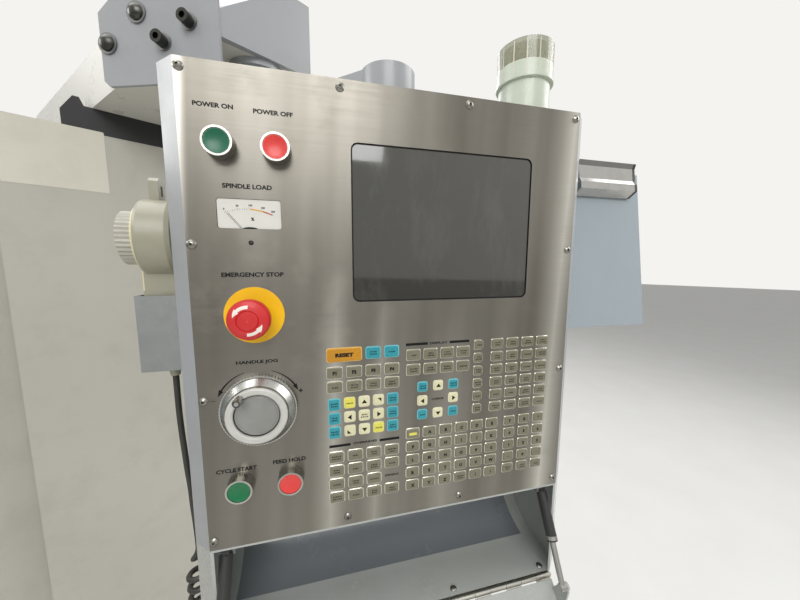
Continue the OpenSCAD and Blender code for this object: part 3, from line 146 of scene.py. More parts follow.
YAW = math.radians(31.0)
HANDLE_TURN = math.radians(8.0)
PIVOT = (1016.0, -1351.0, 1760.0)
ACROSS = (math.cos(YAW), -math.sin(YAW), 0.0)
INWARDS = (math.sin(YAW), math.cos(YAW), 0.0)
UP, RIGHT = (0.0, 0.0, 1.0), (1.0, 0.0, 0.0)
FRONT, BACK = (0.0, -1.0, 0.0), (0.0, 1.0, 0.0)
PANEL_W, PANEL_H, PIVOT_DEPTH = 457.0, 514.0, 110.0


def pendant_point(start: Vec, across: float, inwards: float) -> Vec:
    """A point moved across and into the pendant: start + across a + inwards w."""
    return tuple(p + across * a + inwards * w for p, a, w in zip(start, ACROSS, INWARDS))


CORNER = pendant_point(PIVOT, -PANEL_W / 2, -PIVOT_DEPTH)
PANEL = Place(CORNER, ACROSS, UP)
LEVEL = Place(CORNER, ACROSS, INWARDS)
MACHINE = Place((0.0, 0.0, 0.0), RIGHT, UP)
BOOM_FACE = Place((748.0, -1015.0, 1838.0), (0.63690, -0.77094, 0.0), UP)
HANDLE_ACROSS = tuple(
    math.cos(HANDLE_TURN) * a + math.sin(HANDLE_TURN) * w for a, w in zip(ACROSS, INWARDS)
)
HANDLE = Place(pendant_point(CORNER, -44.0, 62.5), HANDLE_ACROSS, UP)
WHEEL_AXIS = Place(HANDLE.moved(16.75, -165.0).origin, HANDLE.out, UP)

# Middles of what stands on the panel, across and down from its top left corner
STOP_AT, DIAL_AT, METER_AT = (60.0, 247.0), (60.0, 352.0), (60.0, 142.3)
LAMP_AT, DISPLAY_AT = (60.0, 171.0), (277.0, 149.0)


def on_panel(u: float, v: float, out: float = 0.0) -> Place:
    """The place on the control panel at u across and v down from its top left corner."""
    return PANEL.moved(u, -v, out)


# Surfaces worked out on grids
@dataclass
class Surface:
    """Points and polygons of a closed surface, in millimetres of some place.

    Args:
        points: array of n points.
        faces: groups of polygons, each an array of polygons with the same number of corners.
    """

    points: np.ndarray
    faces: list[np.ndarray]

    @classmethod
    def joined(cls, parts: Sequence["Surface"]) -> "Surface":
        """Several surfaces as one.

        Args:
            parts: the surfaces.

        Returns:
            One surface, with each part's polygons counted on from the part before.
        """
        starts = np.cumsum([0] + [len(p.points) for p in parts])
        points = np.concatenate([p.points for p in parts])
        return cls(points, [group + start for p, start in zip(parts, starts) for group in p.faces])

    def set_in(self, place: Place) -> "Surface":
        """The surface in metres of the machine's frame."""
        return Surface(place.world(self.points), self.faces)

    def shifted(self, x: float, y: float, z: float = 0.0) -> "Surface":
        """The surface moved in its own place."""
        return Surface(self.points + np.array([x, y, z]), self.faces)


def spokes(angles: np.ndarray) -> np.ndarray:
    """Unit directions at angles in radians: (cos t, sin t)."""
    return np.stack([np.cos(angles), np.sin(angles)], -1)


def raised(outline: np.ndarray, z: float) -> np.ndarray:
    """A flat outline's points at a height."""
    return np.c_[outline, np.full(len(outline), z)]


def lofted(rings: np.ndarray, closed: bool = False) -> Surface:
    """Joins closed rows of points: (i, j) meets (i, j + 1), (i + 1, j + 1) and (i + 1, j).

    Args:
        rings: array of rows by points by 3, each row running round to its own start.
        closed: whether the last row meets the first. Otherwise flat faces close both ends.

    Returns:
        The surface.
    """
    rows, count = rings.shape[:2]
    i, j = np.meshgrid(np.arange(rows if closed else rows - 1), np.arange(count), indexing="ij")
    here, above, beside = i * count, (i + 1) % rows * count, (j + 1) % count
    quads = np.stack([here + j, here + beside, above + beside, above + j], -1)
    faces = [quads.reshape(-1, 4)]
    if not closed:
        edge = np.arange(count)
        faces += [edge[::-1][None], ((rows - 1) * count + edge)[None]]
    return Surface(rings.reshape(-1, 3), faces)


def revolved(profile: Sequence[Pair], steps: int = 32, closed: bool = False) -> Surface:
    """Turns a profile of (radius, height) about the out axis: (r cos t, r sin t, z).

    Args:
        profile: points from the underside outwards and up.
        steps: points round the axis.
        closed: whether the profile returns to its first point, as in a ring.

    Returns:
        The surface.
    """
    p = np.array(profile, float)
    way = spokes(np.linspace(0, 2 * np.pi, steps, endpoint=False))
    heights = np.broadcast_to(p[:, None, 1:], (len(p), steps, 1))
    return lofted(np.concatenate([p[:, None, :1] * way, heights], -1), closed)


def plate(outline: np.ndarray, low: float, high: float) -> Surface:
    """A flat outline, anticlockwise, given thickness from low to high."""
    return lofted(np.stack([raised(outline, z) for z in (low, high)]))


def rim(outer: np.ndarray, inner: np.ndarray, low: float, high: float) -> Surface:
    """A flat frame between two outlines of as many points, from low to high.

    Args:
        outer: the outer outline.
        inner: the inner outline.
        low: height of the lower face.
        high: height of the upper face.

    Returns:
        The surface, its section a rectangle.
    """
    section = ((outer, low), (outer, high), (inner, high), (inner, low))
    return lofted(np.stack([raised(edge, z) for edge, z in section]), closed=True)


def rounded(
    width: float, height: float, radius: float, steps: int = 4, inset: float = 0.0
) -> np.ndarray:
    """Outline of a rectangle with round corners, centred, with its sides moved in by inset.

    Args:
        width: size across.
        height: size up.
        radius: corner radius before the inset.
        steps: points in each corner.
        inset: how far every side moves in.

    Returns:
        Four quarter circles' points, anticlockwise: corner middle + r (cos t, sin t).
    """
    t = np.linspace(0, np.pi / 2, steps)[None] + np.arange(4)[:, None] * np.pi / 2
    side = np.array([[1, 1], [-1, 1], [-1, -1], [1, -1]])[:, None]
    middle = side * np.array([width / 2 - radius, height / 2 - radius])
    middle = middle - side * max(inset - radius + LEAST_RADIUS, 0.0)
    return (middle + max(radius - inset, LEAST_RADIUS) * spokes(t)).reshape(-1, 2)


def lozenge(width: float, height: float, radius: float, levels: Sequence[Pair]) -> Surface:
    """A stack of rounded rectangles, each moved in and raised: a block with soft edges.

    Args:
        width: size across at no inset.
        height: size up at no inset.
        radius: corner radius.
        levels: pairs of (inset, height above the seat).

    Returns:
        The surface.
    """
    rings = [raised(rounded(width, height, radius, inset=inset), z) for inset, z in levels]
    return lofted(np.array(rings))


def band(inner: float, outer: float, start: float, end: float, steps: int) -> np.ndarray:
    """Outline of a piece of a flat ring between two radii and two angles in degrees."""
    edge = spokes(np.radians(np.linspace(start, end, steps)))
    return np.concatenate([outer * edge, inner * edge[::-1]])


def directions(path: np.ndarray) -> np.ndarray:
    """Unit directions along a path, from each point's neighbours."""
    way = np.gradient(path, axis=0)
    return way / np.linalg.norm(way, axis=1, keepdims=True)


def run_along(path: np.ndarray) -> np.ndarray:
    """Distance along a path at each of its points: the running sum of its steps."""
    return np.r_[0, np.cumsum(np.linalg.norm(np.diff(path, axis=0), axis=1))]


def carried_frames(way: np.ndarray) -> tuple[np.ndarray, np.ndarray]:
    """Two directions across a path at each point: s - t (s . t), carried on from the last.

    Args:
        way: unit directions along the path.

    Returns:
        The side direction and the one square to it and to the path.
    """
    start = np.array(RIGHT if abs(way[0][0]) < 0.9 else BACK)
    sides = []
    for t in way:
        start = start - t * (start @ t)
        start = start / np.linalg.norm(start)
        sides.append(start)
    side = np.array(sides)
    return side, np.cross(way, side)


def smooth_step(t: np.ndarray) -> np.ndarray:
    """3t^2 - 2t^3 on a value held between 0 and 1."""
    t = np.clip(t, 0, 1)
    return t * t * (3 - 2 * t)


def through(points: Sequence[Vec], spacing: float, steps: int = 24) -> np.ndarray:
    """A smooth curve through points, as evenly spaced points.

    Between two points it is the cubic whose slopes are half the difference of the neighbours.

    Args:
        points: the points that it passes.
        spacing: distance between the points returned.
        steps: points worked out on each stretch before they are spaced.

    Returns:
        The curve's points.
    """
    p = np.array(points, float)
    slope = np.gradient(p, axis=0)
    t = np.linspace(0, 1, steps, endpoint=False)[None, :, None]
    a, b, m, n = p[:-1, None], p[1:, None], slope[:-1, None], slope[1:, None]
    dense = (2 * t**3 - 3 * t**2 + 1) * a + (t**3 - 2 * t**2 + t) * m
    dense = dense + (3 * t**2 - 2 * t**3) * b + (t**3 - t**2) * n
    dense = np.concatenate([dense.reshape(-1, 3), p[-1:]])
    run = run_along(dense)
    at = np.linspace(0, run[-1], max(int(round(run[-1] / spacing)), 2) + 1)
    return np.stack([np.interp(at, run, dense[:, k]) for k in range(3)], -1)


# Shader maths
def rgb(text: str) -> tuple[float, float, float, float]:
    """A written colour as the linear values that a shader takes: ((c + 0.055) / 1.055)^2.4.

    Args:
        text: the colour as #rrggbb.

    Returns:
        Red, green, blue and an alpha of 1.
    """
    c = np.array([int(text[i : i + 2], 16) for i in (1, 3, 5)]) / 255
    linear = np.where(c <= 0.04045, c / 12.92, ((c + 0.055) / 1.055) ** 2.4)
    return (*(float(x) for x in linear), 1.0)


class Value:
    """A node's output that takes Python's operators, each of which adds its Math node."""

    def __init__(self, nodes: "Nodes", socket: bpy.types.NodeSocket) -> None:
        """Keeps the socket and the tree that it belongs to."""
        self.nodes = nodes
        self.socket = socket

    def math(self, operation: str, *others: "Value | float") -> "Value":
        """The result of a Math node on this value and others."""
        return self.nodes.math(operation, self, *others)

    def __add__(self, other: "Value | float") -> "Value":
        """self + other"""
        return self.math("ADD", other)

    def __mul__(self, other: "Value | float") -> "Value":
        """self * other"""
        return self.math("MULTIPLY", other)

    def __sub__(self, other: "Value | float") -> "Value":
        """self - other"""
        return self.math("SUBTRACT", other)

    def __rsub__(self, other: float) -> "Value":
        """other - self"""
        return self.nodes.math("SUBTRACT", other, self)

    def __gt__(self, other: "Value | float") -> "Value":
        """1 where self is greater, and 0 elsewhere"""
        return self.math("GREATER_THAN", other)

    def __lt__(self, other: "Value | float") -> "Value":
        """1 where self is less, and 0 elsewhere"""
        return self.math("LESS_THAN", other)

    __radd__ = __add__
    __rmul__ = __mul__

    def spread(
        self, low: float, high: float, to_low: float = 0.0, to_high: float = 1.0
    ) -> "Value":
        """The value with low to high carried over to to_low to to_high, and held there."""
        sockets = dict(enumerate((self, low, high, to_low, to_high)))
        return self.nodes.value("ShaderNodeMapRange", {}, sockets)


class Nodes:
    """A node tree, with one way to add any node."""

    def __init__(self, tree: bpy.types.NodeTree) -> None:
        """Takes a tree and empties it."""
        self.tree = tree
        tree.nodes.clear()

    def node(
        self, kind: str, settings: dict[str, Any], sockets: dict[int | str, Any]
    ) -> bpy.types.Node:
        """Adds a node, with its settings first and then its sockets.

        Args:
            kind: the node's type.
            settings: attributes, such as a Math node's operation.
            sockets: numbers, colours or Values, by socket name or number.

        Returns:
            The node.
        """
        made = self.tree.nodes.new(kind)
        for key, setting in settings.items():
            setattr(made, key, setting)
        for key, given in sockets.items():
            if isinstance(given, Value):
                self.tree.links.new(given.socket, made.inputs[key])
            else:
                made.inputs[key].default_value = given
        return made

    def value(
        self, kind: str, settings: dict[str, Any], sockets: dict[int | str, Any], out: int | str = 0
    ) -> Value:
        """Adds a node and returns one of its outputs as a Value."""
        return Value(self, self.node(kind, settings, sockets).outputs[out])

    def math(self, operation: str, *terms: Value | float) -> Value:
        """The result of a Math node."""
        return self.value("ShaderNodeMath", {"operation": operation}, dict(enumerate(terms)))


class Shader(Nodes):
    """One material's node tree, with short ways to add what its finish needs."""

    def __init__(self, name: str) -> None:
        """Makes an empty material.

        Args:
            name: the material's name.
        """
        self.material = bpy.data.materials.new(name)
        self.material.use_nodes = True
        super().__init__(self.material.node_tree)
        self.place = self.value("ShaderNodeTexCoord", {}, {}, "Object")

    def mapped(self, where: Value, **sockets: Any) -> Value:
        """Coordinates scaled or turned by a Mapping node."""
        settings = {"vector_type": "POINT"}
        return self.value("ShaderNodeMapping", settings, {"Vector": where, **sockets})

    def stretched(self, scale: Vec, turn: float = 0.0) -> Value:
        """The object's coordinates turned about Z, in radians, and then scaled on each axis."""
        turned = self.mapped(self.place, Rotation=(0, 0, turn)) if turn else self.place
        return self.mapped(turned, Scale=scale)

    def noise(
        self, scale: float, detail: float = 2.0, where: Value | None = None, rough: float = 0.5
    ) -> Value:
        """Smooth noise from 0 to 1.

        Args:
            scale: how many grains lie in a metre.
            detail: how many finer layers are added.
            where: the coordinates, or the object's own.
            rough: how strong the finer layers are.

        Returns:
            The noise.
        """
        sockets = {
            "Vector": where or self.place, "Scale": scale, "Detail": detail, "Roughness": rough,
        }
        return self.value("ShaderNodeTexNoise", {}, sockets, "Fac")

    def cells(self, scale: float) -> Value:
        """Distance to the nearest of scattered points."""
        sockets = {"Vector": self.place, "Scale": scale}
        return self.value("ShaderNodeTexVoronoi", {"feature": "F1"}, sockets, "Distance")

    def mix(self, factor: Value | float, first: Any, second: Any) -> Value:
        """A colour between two colours."""
        sockets = {0: factor, 6: first, 7: second}
        return self.value("ShaderNodeMix", {"data_type": "RGBA"}, sockets, 2)

    def along(self, way: Vec, origin: Vec = (0.0, 0.0, 0.0)) -> Value:
        """Distance in millimetres along a direction, from a point in millimetres.

        Args:
            way: the unit direction.
            origin: the point that it is counted from.

        Returns:
            The object's coordinates . way / MM - origin . way.
        """
        sockets, settings = {0: self.place, 1: way}, {"operation": "DOT_PRODUCT"}
        dot = self.value("ShaderNodeVectorMath", settings, sockets, "Value")
        return dot * (1 / MM) - float(np.dot(way, origin))

    def over_panel(self) -> tuple[Value, Value]:
        """Distances across and down from the control panel's top left corner."""
        return self.along(ACROSS, CORNER), PIVOT[2] - self.along(UP)

    def bump(self, height: Value, strength: float, depth: float) -> Value:
        """A bumped normal from a height, with its depth in metres."""
        sockets = {"Strength": strength, "Distance": depth, "Height": height}
        return self.value("ShaderNodeBump", {}, sockets)

    def principled(self, **sockets: Any) -> Value:
        """A Principled shader; an underscore in a name stands for a space."""
        named = {key.replace("_", " "): given for key, given in sockets.items()}
        return self.value("ShaderNodeBsdfPrincipled", {}, named)

    def finish(self, surface: Value) -> bpy.types.Material:
        """Links the surface to the output and returns the material."""
        self.node("ShaderNodeOutputMaterial", {}, {"Surface": surface})
        return self.material


# Finishes
@dataclass(frozen=True)
class Finish:
    """A finish that a surface can be given. Each kind adds its own shader."""

    name: str

    def surface(self, sh: Shader) -> Value:
        """Adds the finish to a shader.

        Args:
            sh: the shader that takes it.

        Returns:
            The finished surface.
        """
        raise NotImplementedError

    def material(self) -> bpy.types.Material:
        """The finish as a material, made once.

        Returns:
            The material.
        """
        found = bpy.data.materials.get(self.name)
        if found is not None and found.get("finished"):
            return found
        sh = Shader(self.name)
        made = sh.finish(self.surface(sh))
        made["finished"] = True
        return made


@dataclass(frozen=True)
class Paint(Finish):
    """Sprayed or powder paint: slow shade changes, rubbed-in grime, small marks and orange peel."""

    colour: str
    shade: str
    grime: str = "#6d6759"
    dirt: float = 0.25
    rough: float = 0.38
    peel: float = 420.0
    depth: float = 0.00012
    coat: float = 0.15

    def surface(self, sh: Shader) -> Value:
        """Adds the paint.

        Args:
            sh: the shader that takes it.

        Returns:
            The painted surface.
        """
        slow = sh.noise(2.3, 3.0)
        cloud = sh.noise(14.0, 5.0, rough=0.65)
        marks = sh.noise(460.0, 2.0).spread(0.7, 0.8)
        base = sh.mix(slow.spread(0.3, 0.7), rgb(self.colour), rgb(self.shade))
        grimy = cloud.spread(0.5, 0.78) * self.dirt + marks * (0.2 * self.dirt)
        base = sh.mix(grimy, base, rgb(self.grime))
        rough = cloud.spread(0.3, 0.75, self.rough - 0.06, self.rough + 0.12)
        height = sh.noise(self.peel, 1.0) + marks * 0.3
        return sh.principled(
            Base_Color=base, Roughness=rough, Coat_Weight=self.coat, Coat_Roughness=0.2,
            Normal=sh.bump(height, 0.5, self.depth),
        )


@dataclass(frozen=True)
class Casting(Finish):
    """Painted cast iron: a coarse skin with filled pits and a matt coat."""

    colour: str
    shade: str
    rough: float = 0.55

    def surface(self, sh: Shader) -> Value:
        """Adds the casting's paint.

        Args:
            sh: the shader that takes it.

        Returns:
            The painted surface.
        """
        slow, skin = sh.noise(4.0, 4.0), sh.noise(95.0, 4.0, rough=0.7)
        pits = sh.cells(120.0).spread(0.0, 0.25)
        base = sh.mix(slow.spread(0.3, 0.7), rgb(self.colour), rgb(self.shade))
        base = sh.mix(skin.spread(0.55, 0.8) * 0.3, base, rgb("#2c2d2c"))
        rough = skin.spread(0.3, 0.7, self.rough - 0.1, self.rough + 0.15)
        normal = sh.bump(skin + pits * 0.4, 0.6, 0.0006)
        return sh.principled(Base_Color=base, Roughness=rough, Normal=normal)


@dataclass(frozen=True)
class Metal(Finish):
    """Bare or plated metal with fine scratches, faint stains and a varying polish."""

    colour: str
    stain: str
    rough: float = 0.25
    scratch: float = 900.0
    depth: float = 0.00004

    def surface(self, sh: Shader) -> Value:
        """Adds the metal.

        Args:
            sh: the shader that takes it.

        Returns:
            The metal's surface.
        """
        cloud = sh.noise(26.0, 5.0, rough=0.6)
        grain = sh.stretched((self.scratch, self.scratch, self.scratch * 0.05))
        fine = sh.noise(1.0, 2.0, grain)
        base = sh.mix(cloud.spread(0.45, 0.8) * 0.55, rgb(self.colour), rgb(self.stain))
        rough = cloud.spread(0.3, 0.75, self.rough - 0.08, self.rough + 0.12) + fine * 0.05
        normal = sh.bump(fine, 0.4, self.depth)
        return sh.principled(Base_Color=base, Roughness=rough, Metallic=1.0, Normal=normal)


@dataclass(frozen=True)
class BrushedSheet(Finish):
    """Stainless sheet brushed level, with hair lines, soft upright bands of painted reflection,
    painted glints at its edges and elsewhere, and painted shade towards its left.

    Args:
        colour: shade of the pale bands, painted reflection.
        bright: shade of the painted glints.
        dull: shade of the dark bands, painted reflection.
        glints: painted glints that fade upwards, each as its place across, half width and strength.
        edges: painted glints of the same kind that run the whole height.
        glint_starts: how far down the fading glints start and are whole.
    """

    colour: str
    bright: str
    dull: str
    glints: tuple[Vec, ...] = (
        (158.0, 30.0, 0.55), (212.0, 24.0, 0.35), (300.0, 46.0, 0.2), (90.0, 70.0, 0.1),
    )
    edges: tuple[Vec, ...] = ((4.0, 9.0, 0.9), (452.0, 40.0, 0.95))
    glint_starts: Pair = (190.0, 310.0)

    @staticmethod
    def glow(lean: Value, glints: Sequence[Vec], start: Value | float = 0.0) -> Value:
        """Adds up glints: each is strength (1 - |x - at| / half)^2, and 0 past its half width.

        Args:
            lean: the place across, leaning with the bands.
            glints: each glint's place across, half width and strength.
            start: what they are added to.

        Returns:
            The sum.
        """
        for at, half, strength in glints:
            near = (lean - at).math("ABSOLUTE").spread(0.0, half, 1.0, 0.0)
            start = start + near.math("POWER", 2.0) * strength
        return start

    def surface(self, sh: Shader) -> Value:
        """Adds the brushed sheet.

        Args:
            sh: the shader that takes it.

        Returns:
            The sheet's surface.
        """
        across, down = sh.over_panel()
        hair = sh.noise(1.0, 3.0, sh.stretched((9.0, 9.0, 1900.0), YAW), 0.7)
        drag = sh.noise(1.0, 2.0, sh.stretched((3.0, 0.0, 260.0), YAW))
        lean = across + down * 0.05
        upright = sh.value("ShaderNodeCombineXYZ", {}, {0: lean * 0.022, 1: down * 0.0016})
        # Painted reflection: soft upright bands of lighter and darker tone.
        bands = sh.noise(1.0, 2.0, upright)
        # Painted glints: bright bands that fade upwards, and bright lines that run the whole height
        # near both sides.
        glints = self.glow(lean, self.glints) * down.spread(*self.glint_starts)
        glints = self.glow(lean, self.edges, glints)
        base = sh.mix(bands.spread(0.3, 0.7), rgb(self.dull), rgb(self.colour))
        # Painted shade: the sheet is darker towards its left.
        shadow = (across + down * 0.2).spread(90.0, 420.0, 0.2, 0.0)
        base = sh.mix(shadow, base, rgb("#3c3a35"))
        base = sh.mix(glints * hair.spread(0.2, 0.8, 0.6, 1.0), base, rgb(self.bright))
        base = sh.mix(hair.spread(0.5, 0.85) * 0.3, base, rgb("#6e6a61"))
        smear = sh.noise(19.0, 6.0, rough=0.7).spread(0.52, 0.75)
        base = sh.mix(smear * 0.22, base, rgb("#8d877a"))
        rough = hair.spread(0.2, 0.8, 0.27, 0.4) + smear * 0.1
        return sh.principled(
            Base_Color=base, Roughness=rough, Metallic=1.0, Anisotropic=0.6,
            Anisotropic_Rotation=0.25, Normal=sh.bump(hair + drag * 0.5, 0.35, 0.00003),
        )


@dataclass(frozen=True)
class Moulded(Finish):
    """Moulded plastic or rubber with a fine grain, handling shine and a little dirt."""

    colour: str
    shade: str
    rough: float = 0.4
    grain: float = 900.0
    depth: float = 0.00005
    sheen: float = 0.0

    def surface(self, sh: Shader) -> Value:
        """Adds the plastic.

        Args:
            sh: the shader that takes it.

        Returns:
            The plastic's surface.
        """
        cloud, fine = sh.noise(32.0, 4.0, rough=0.65), sh.noise(self.grain, 2.0)
        base = sh.mix(cloud.spread(0.35, 0.75), rgb(self.colour), rgb(self.shade))
        rough = cloud.spread(0.3, 0.7, self.rough - 0.07, self.rough + 0.1)
        normal = sh.bump(fine, 0.4, self.depth)
        return sh.principled(
            Base_Color=base, Roughness=rough, Sheen_Weight=self.sheen, Normal=normal
        )


@dataclass(frozen=True)
class Ink(Finish):
    """Screen-printed ink, slightly worn."""

    colour: str

    def surface(self, sh: Shader) -> Value:
        """Adds the ink.

        Args:
            sh: the shader that takes it.

        Returns:
            The ink's surface.
        """
        worn = sh.noise(600.0, 3.0).spread(0.6, 0.85)
        base = sh.mix(worn * 0.12, rgb(self.colour), rgb("#8b8880"))
        return sh.principled(Base_Color=base, Roughness=worn * 0.2 + 0.6, Specular_IOR_Level=0.25)


@dataclass(frozen=True)
class DarkGlass(Finish):
    """Smoked display glass, darker to the left and downwards, with wiped smears and dust."""

    left: str = "#32322b"
    right: str = "#42413b"
    lower: str = "#201f1a"
    dusty: str = "#6b6a63"

    def surface(self, sh: Shader) -> Value:
        """Adds the glass.

        Args:
            sh: the shader that takes it.

        Returns:
            The glass's surface.
        """
        wipe = sh.noise(1.0, 4.0, sh.stretched((26.0, 26.0, 9.0), YAW + 0.5), 0.7)
        dust = sh.noise(900.0, 1.0).spread(0.7, 0.8)
        across, down = sh.over_panel()
        base = sh.mix(across.spread(170.0, 390.0), rgb(self.left), rgb(self.right))
        base = sh.mix(down.spread(80.0, 230.0, 0.0, 0.5), base, rgb(self.lower))
        base = sh.mix(wipe.spread(0.5, 0.8) * 0.3 + dust * 0.2, base, rgb(self.dusty))
        return sh.principled(
            Base_Color=base, Roughness=wipe.spread(0.4, 0.8, 0.04, 0.16), Specular_IOR_Level=0.75,
            Coat_Weight=0.5, Coat_Roughness=0.02, Normal=sh.bump(wipe, 0.05, 0.0001),
        )


@dataclass(frozen=True)
class ClearSheet(Finish):
    """Clear polycarbonate or glass over what is behind it, with haze and faint scratches."""

    colour: str
    alpha: float = 0.3
    rough: float = 0.06

    def surface(self, sh: Shader) -> Value:
        """Adds the clear sheet.

        Args:
            sh: the shader that takes it.

        Returns:
            The sheet's surface.
        """
        haze = sh.noise(12.0, 5.0, rough=0.7)
        scratch = sh.noise(1.0, 2.0, sh.stretched((300.0, 300.0, 12.0)))
        base = sh.mix(haze.spread(0.3, 0.8) * 0.4, rgb(self.colour), rgb("#d8dcd8"))
        return sh.principled(
            Base_Color=base, Roughness=haze.spread(0.3, 0.8, self.rough, self.rough + 0.12),
            Alpha=haze.spread(0.4, 0.85, self.alpha, self.alpha + 0.16), Specular_IOR_Level=0.7,
            Normal=sh.bump(scratch, 0.05, 0.00005),
        )


@dataclass(frozen=True)
class Zone:
    """A part of space between limits along directions, in millimetres of the machine's frame.

    Args:
        limits: (direction, from, to) triples that all have to hold.
    """

    limits: tuple[Limit, ...]

    def mask(self, sh: Shader) -> Value:
        """The product of the limits' masks: 1 inside the zone and 0 outside.

        Args:
            sh: the shader that takes it.

        Returns:
            The mask.
        """
        masks = [(sh.along(way) > low) * (sh.along(way) < high) for way, low, high in self.limits]
        whole = masks[0]
        for m in masks[1:]:
            whole = whole * m
        return whole


@dataclass(frozen=True)
class Round:
    """A part of space round an axis, between two radii and two heights, in millimetres.

    Args:
        place: the axis, as the place's origin and its out direction.
        radii: inner and outer radius.
        heights: lower and upper height along the axis.
    """

    place: Place
    radii: Pair
    heights: Pair

    def mask(self, sh: Shader) -> Value:
        """1 where r = sqrt(x^2 + y^2) and the height are within their limits, and 0 outside.

        Args:
            sh: the shader that takes it.

        Returns:
            The mask.
        """
        axes = (self.place.across, self.place.up, self.place.out)
        x, y, z = (sh.along(way, self.place.origin) for way in axes)
        r = (x * x + y * y).math("SQRT")
        (inner, outer), (low, high) = self.radii, self.heights
        return (r > inner) * (r < outer) * (z > low) * (z < high)


@dataclass(frozen=True)
class Zoned(Finish):
    """One finish with others laid over it in zones, for a node of several materials."""

    main: Finish
    trims: tuple[tuple[Zone | Round, Finish], ...]

    def surface(self, sh: Shader) -> Value:
        """Adds each finish and mixes them by the zones.

        Args:
            sh: the shader that takes it.

        Returns:
            The mixed surface.
        """
        whole = self.main.surface(sh)
        for zone, trim in self.trims:
            sockets = {0: zone.mask(sh), 1: whole, 2: trim.surface(sh)}
            whole = sh.value("ShaderNodeMixShader", {}, sockets)
        return whole


# Paints and castings
CREAM_PAINT = Paint("cream_enamel", "#b6b3a8", "#aeaba1", dirt=0.16, rough=0.34)
WHITE_PAINT = Paint("white_enamel", "#d3d1c8", "#cbc9c0", dirt=0.05, rough=0.3)
GREY_PAINT = Paint("grey_enamel", "#a0a2a4", "#989a9c", dirt=0.12, rough=0.34)
BIN_PAINT = Paint("bin_enamel", "#b1b4ae", "#a5a8a4", dirt=0.14, rough=0.2, coat=0.5)
# Painted shade: the bin's inside is painted darker than its outside.
BIN_INSIDE_SHADE = Paint("bin_inside_painted_shade", "#777c80", "#6d7276", dirt=0.03, rough=0.22, coat=0.4)
BLACK_PAINT = Paint("black_enamel", "#1f2021", "#292a2b", grime="#55524c", dirt=0.2, rough=0.4)
FOOT_PAINT = Paint("foot_black", "#151617", "#1b1c1d", grime="#47443f", dirt=0.1, rough=0.55)
BOARD_PAINT = Paint("board_enamel", "#98a3a9", "#909ba1", dirt=0.08, rough=0.16, coat=0.6)
CARD_STOCK = Paint(
    "card_stock", "#d3cfc0", "#ccc8b9", grime="#a09a8a", dirt=0.2, rough=0.5, peel=900.0, coat=0.0
)
CAST_IRON = Casting("casting_enamel", "#6b7073", "#61666a")
HEAD_CASTING = Casting("head_enamel", "#b5b2a7", "#aaa79d", rough=0.42)
MOTOR_BLACK = Casting("motor_enamel", "#1e2022", "#292b2d", rough=0.45)

# Metals
TABLE_IRON = Metal("ground_iron", "#9d9f9d", "#6d6a63", rough=0.34, scratch=500.0)
RAIL_STEEL = Metal("rail_steel", "#a9abab", "#7f7d77", rough=0.22)
PAN_SHEET = Metal("galvanised_sheet", "#9b9e9e", "#75756f", rough=0.42, scratch=200.0)
BRIGHT_STEEL = Metal("plated_steel", "#b4b3af", "#77746b", rough=0.16)
SCREW_STEEL = Metal("screw_steel", "#8f8d86", "#5b5850", rough=0.26)
BLACK_OXIDE = Metal("black_oxide", "#4a4a46", "#242422", rough=0.28)
BOLT_STEEL = Metal("zinc_steel", "#8e8f8f", "#5d5a54", rough=0.3)
BEZEL_METAL = Metal("satin_bezel", "#aeada7", "#7d7a72", rough=0.2)
DIAL_METAL = Metal("turned_aluminium", "#b9b9b5", "#8d8b84", rough=0.26, scratch=1500.0)
HINGE_STEEL = Metal("hinge_steel", "#bdbbb3", "#87837a", rough=0.24)
CAROUSEL_BLACK = Metal("blackened_steel", "#3f4245", "#2b2c2d", rough=0.36)
PANEL_STEEL = BrushedSheet("brushed_stainless", "#8b8880", "#dedbd2", "#736f67")

# Plastics, rubber and clear sheet
GREEN_CAP = Moulded("green_cap", "#146648", "#125d42", rough=0.3)
GREEN_CAP_LOW = Moulded("green_cap_start", "#0c7042", "#0a673c", rough=0.3)
RED_CAP = Moulded("red_cap", "#e2443f", "#d93c38", rough=0.3)
STOP_RED = Moulded("stop_red", "#cd2b2c", "#c02526", rough=0.36)
STOP_YELLOW = Moulded("stop_yellow", "#fdc60a", "#f5ba08", rough=0.38)
DIAL_PLASTIC = Moulded("dial_ring_plastic", "#c9c8c2", "#bdbcb5", rough=0.35)
DIAL_FACE = Moulded("dial_face", "#8f8f8b", "#84847f", rough=0.12)
HANDLE_PLASTIC = Moulded(
    "handle_plastic", "#a19e8b", "#989582", rough=0.36, grain=500.0, depth=0.0001
)
WHEEL_PLASTIC = Moulded("wheel_plastic", "#b5b3a8", "#a8a599", rough=0.4)
CREAM_RING = Moulded("cream_ring", "#ddd6ae", "#d3cca4", rough=0.4)
BLACK_RUBBER = Moulded("black_rubber", "#1b1b1a", "#242422", rough=0.5, sheen=0.15)
CORD_RUBBER = Moulded("cord_rubber", "#2a2a27", "#35342f", rough=0.38, grain=700.0)
METER_CARD = Moulded("meter_card", "#dedcd4", "#d6d4cc", rough=0.2)
BEACON_BODY = Moulded("beacon_body", "#c5ccbb", "#bcc3b2", rough=0.28)
BEACON_CLEAR = ClearSheet("beacon_clear", "#8f8e6c", alpha=0.55)
WINDOW_CLEAR = ClearSheet("window_clear", "#93a4a8", alpha=0.34)
DISPLAY_GLASS = DarkGlass("smoked_glass")
KEY_GREY = Moulded("key_grey", "#7a7763", "#716e5b", rough=0.3)
KEY_TEAL = Moulded("key_teal", "#2c96a2", "#288c98", rough=0.28)
KEY_CREAM = Moulded("key_cream", "#dfdbb4", "#d6d2aa", rough=0.28)
KEY_YELLOW = Moulded("key_yellow", "#e2da5c", "#d9d155", rough=0.28)
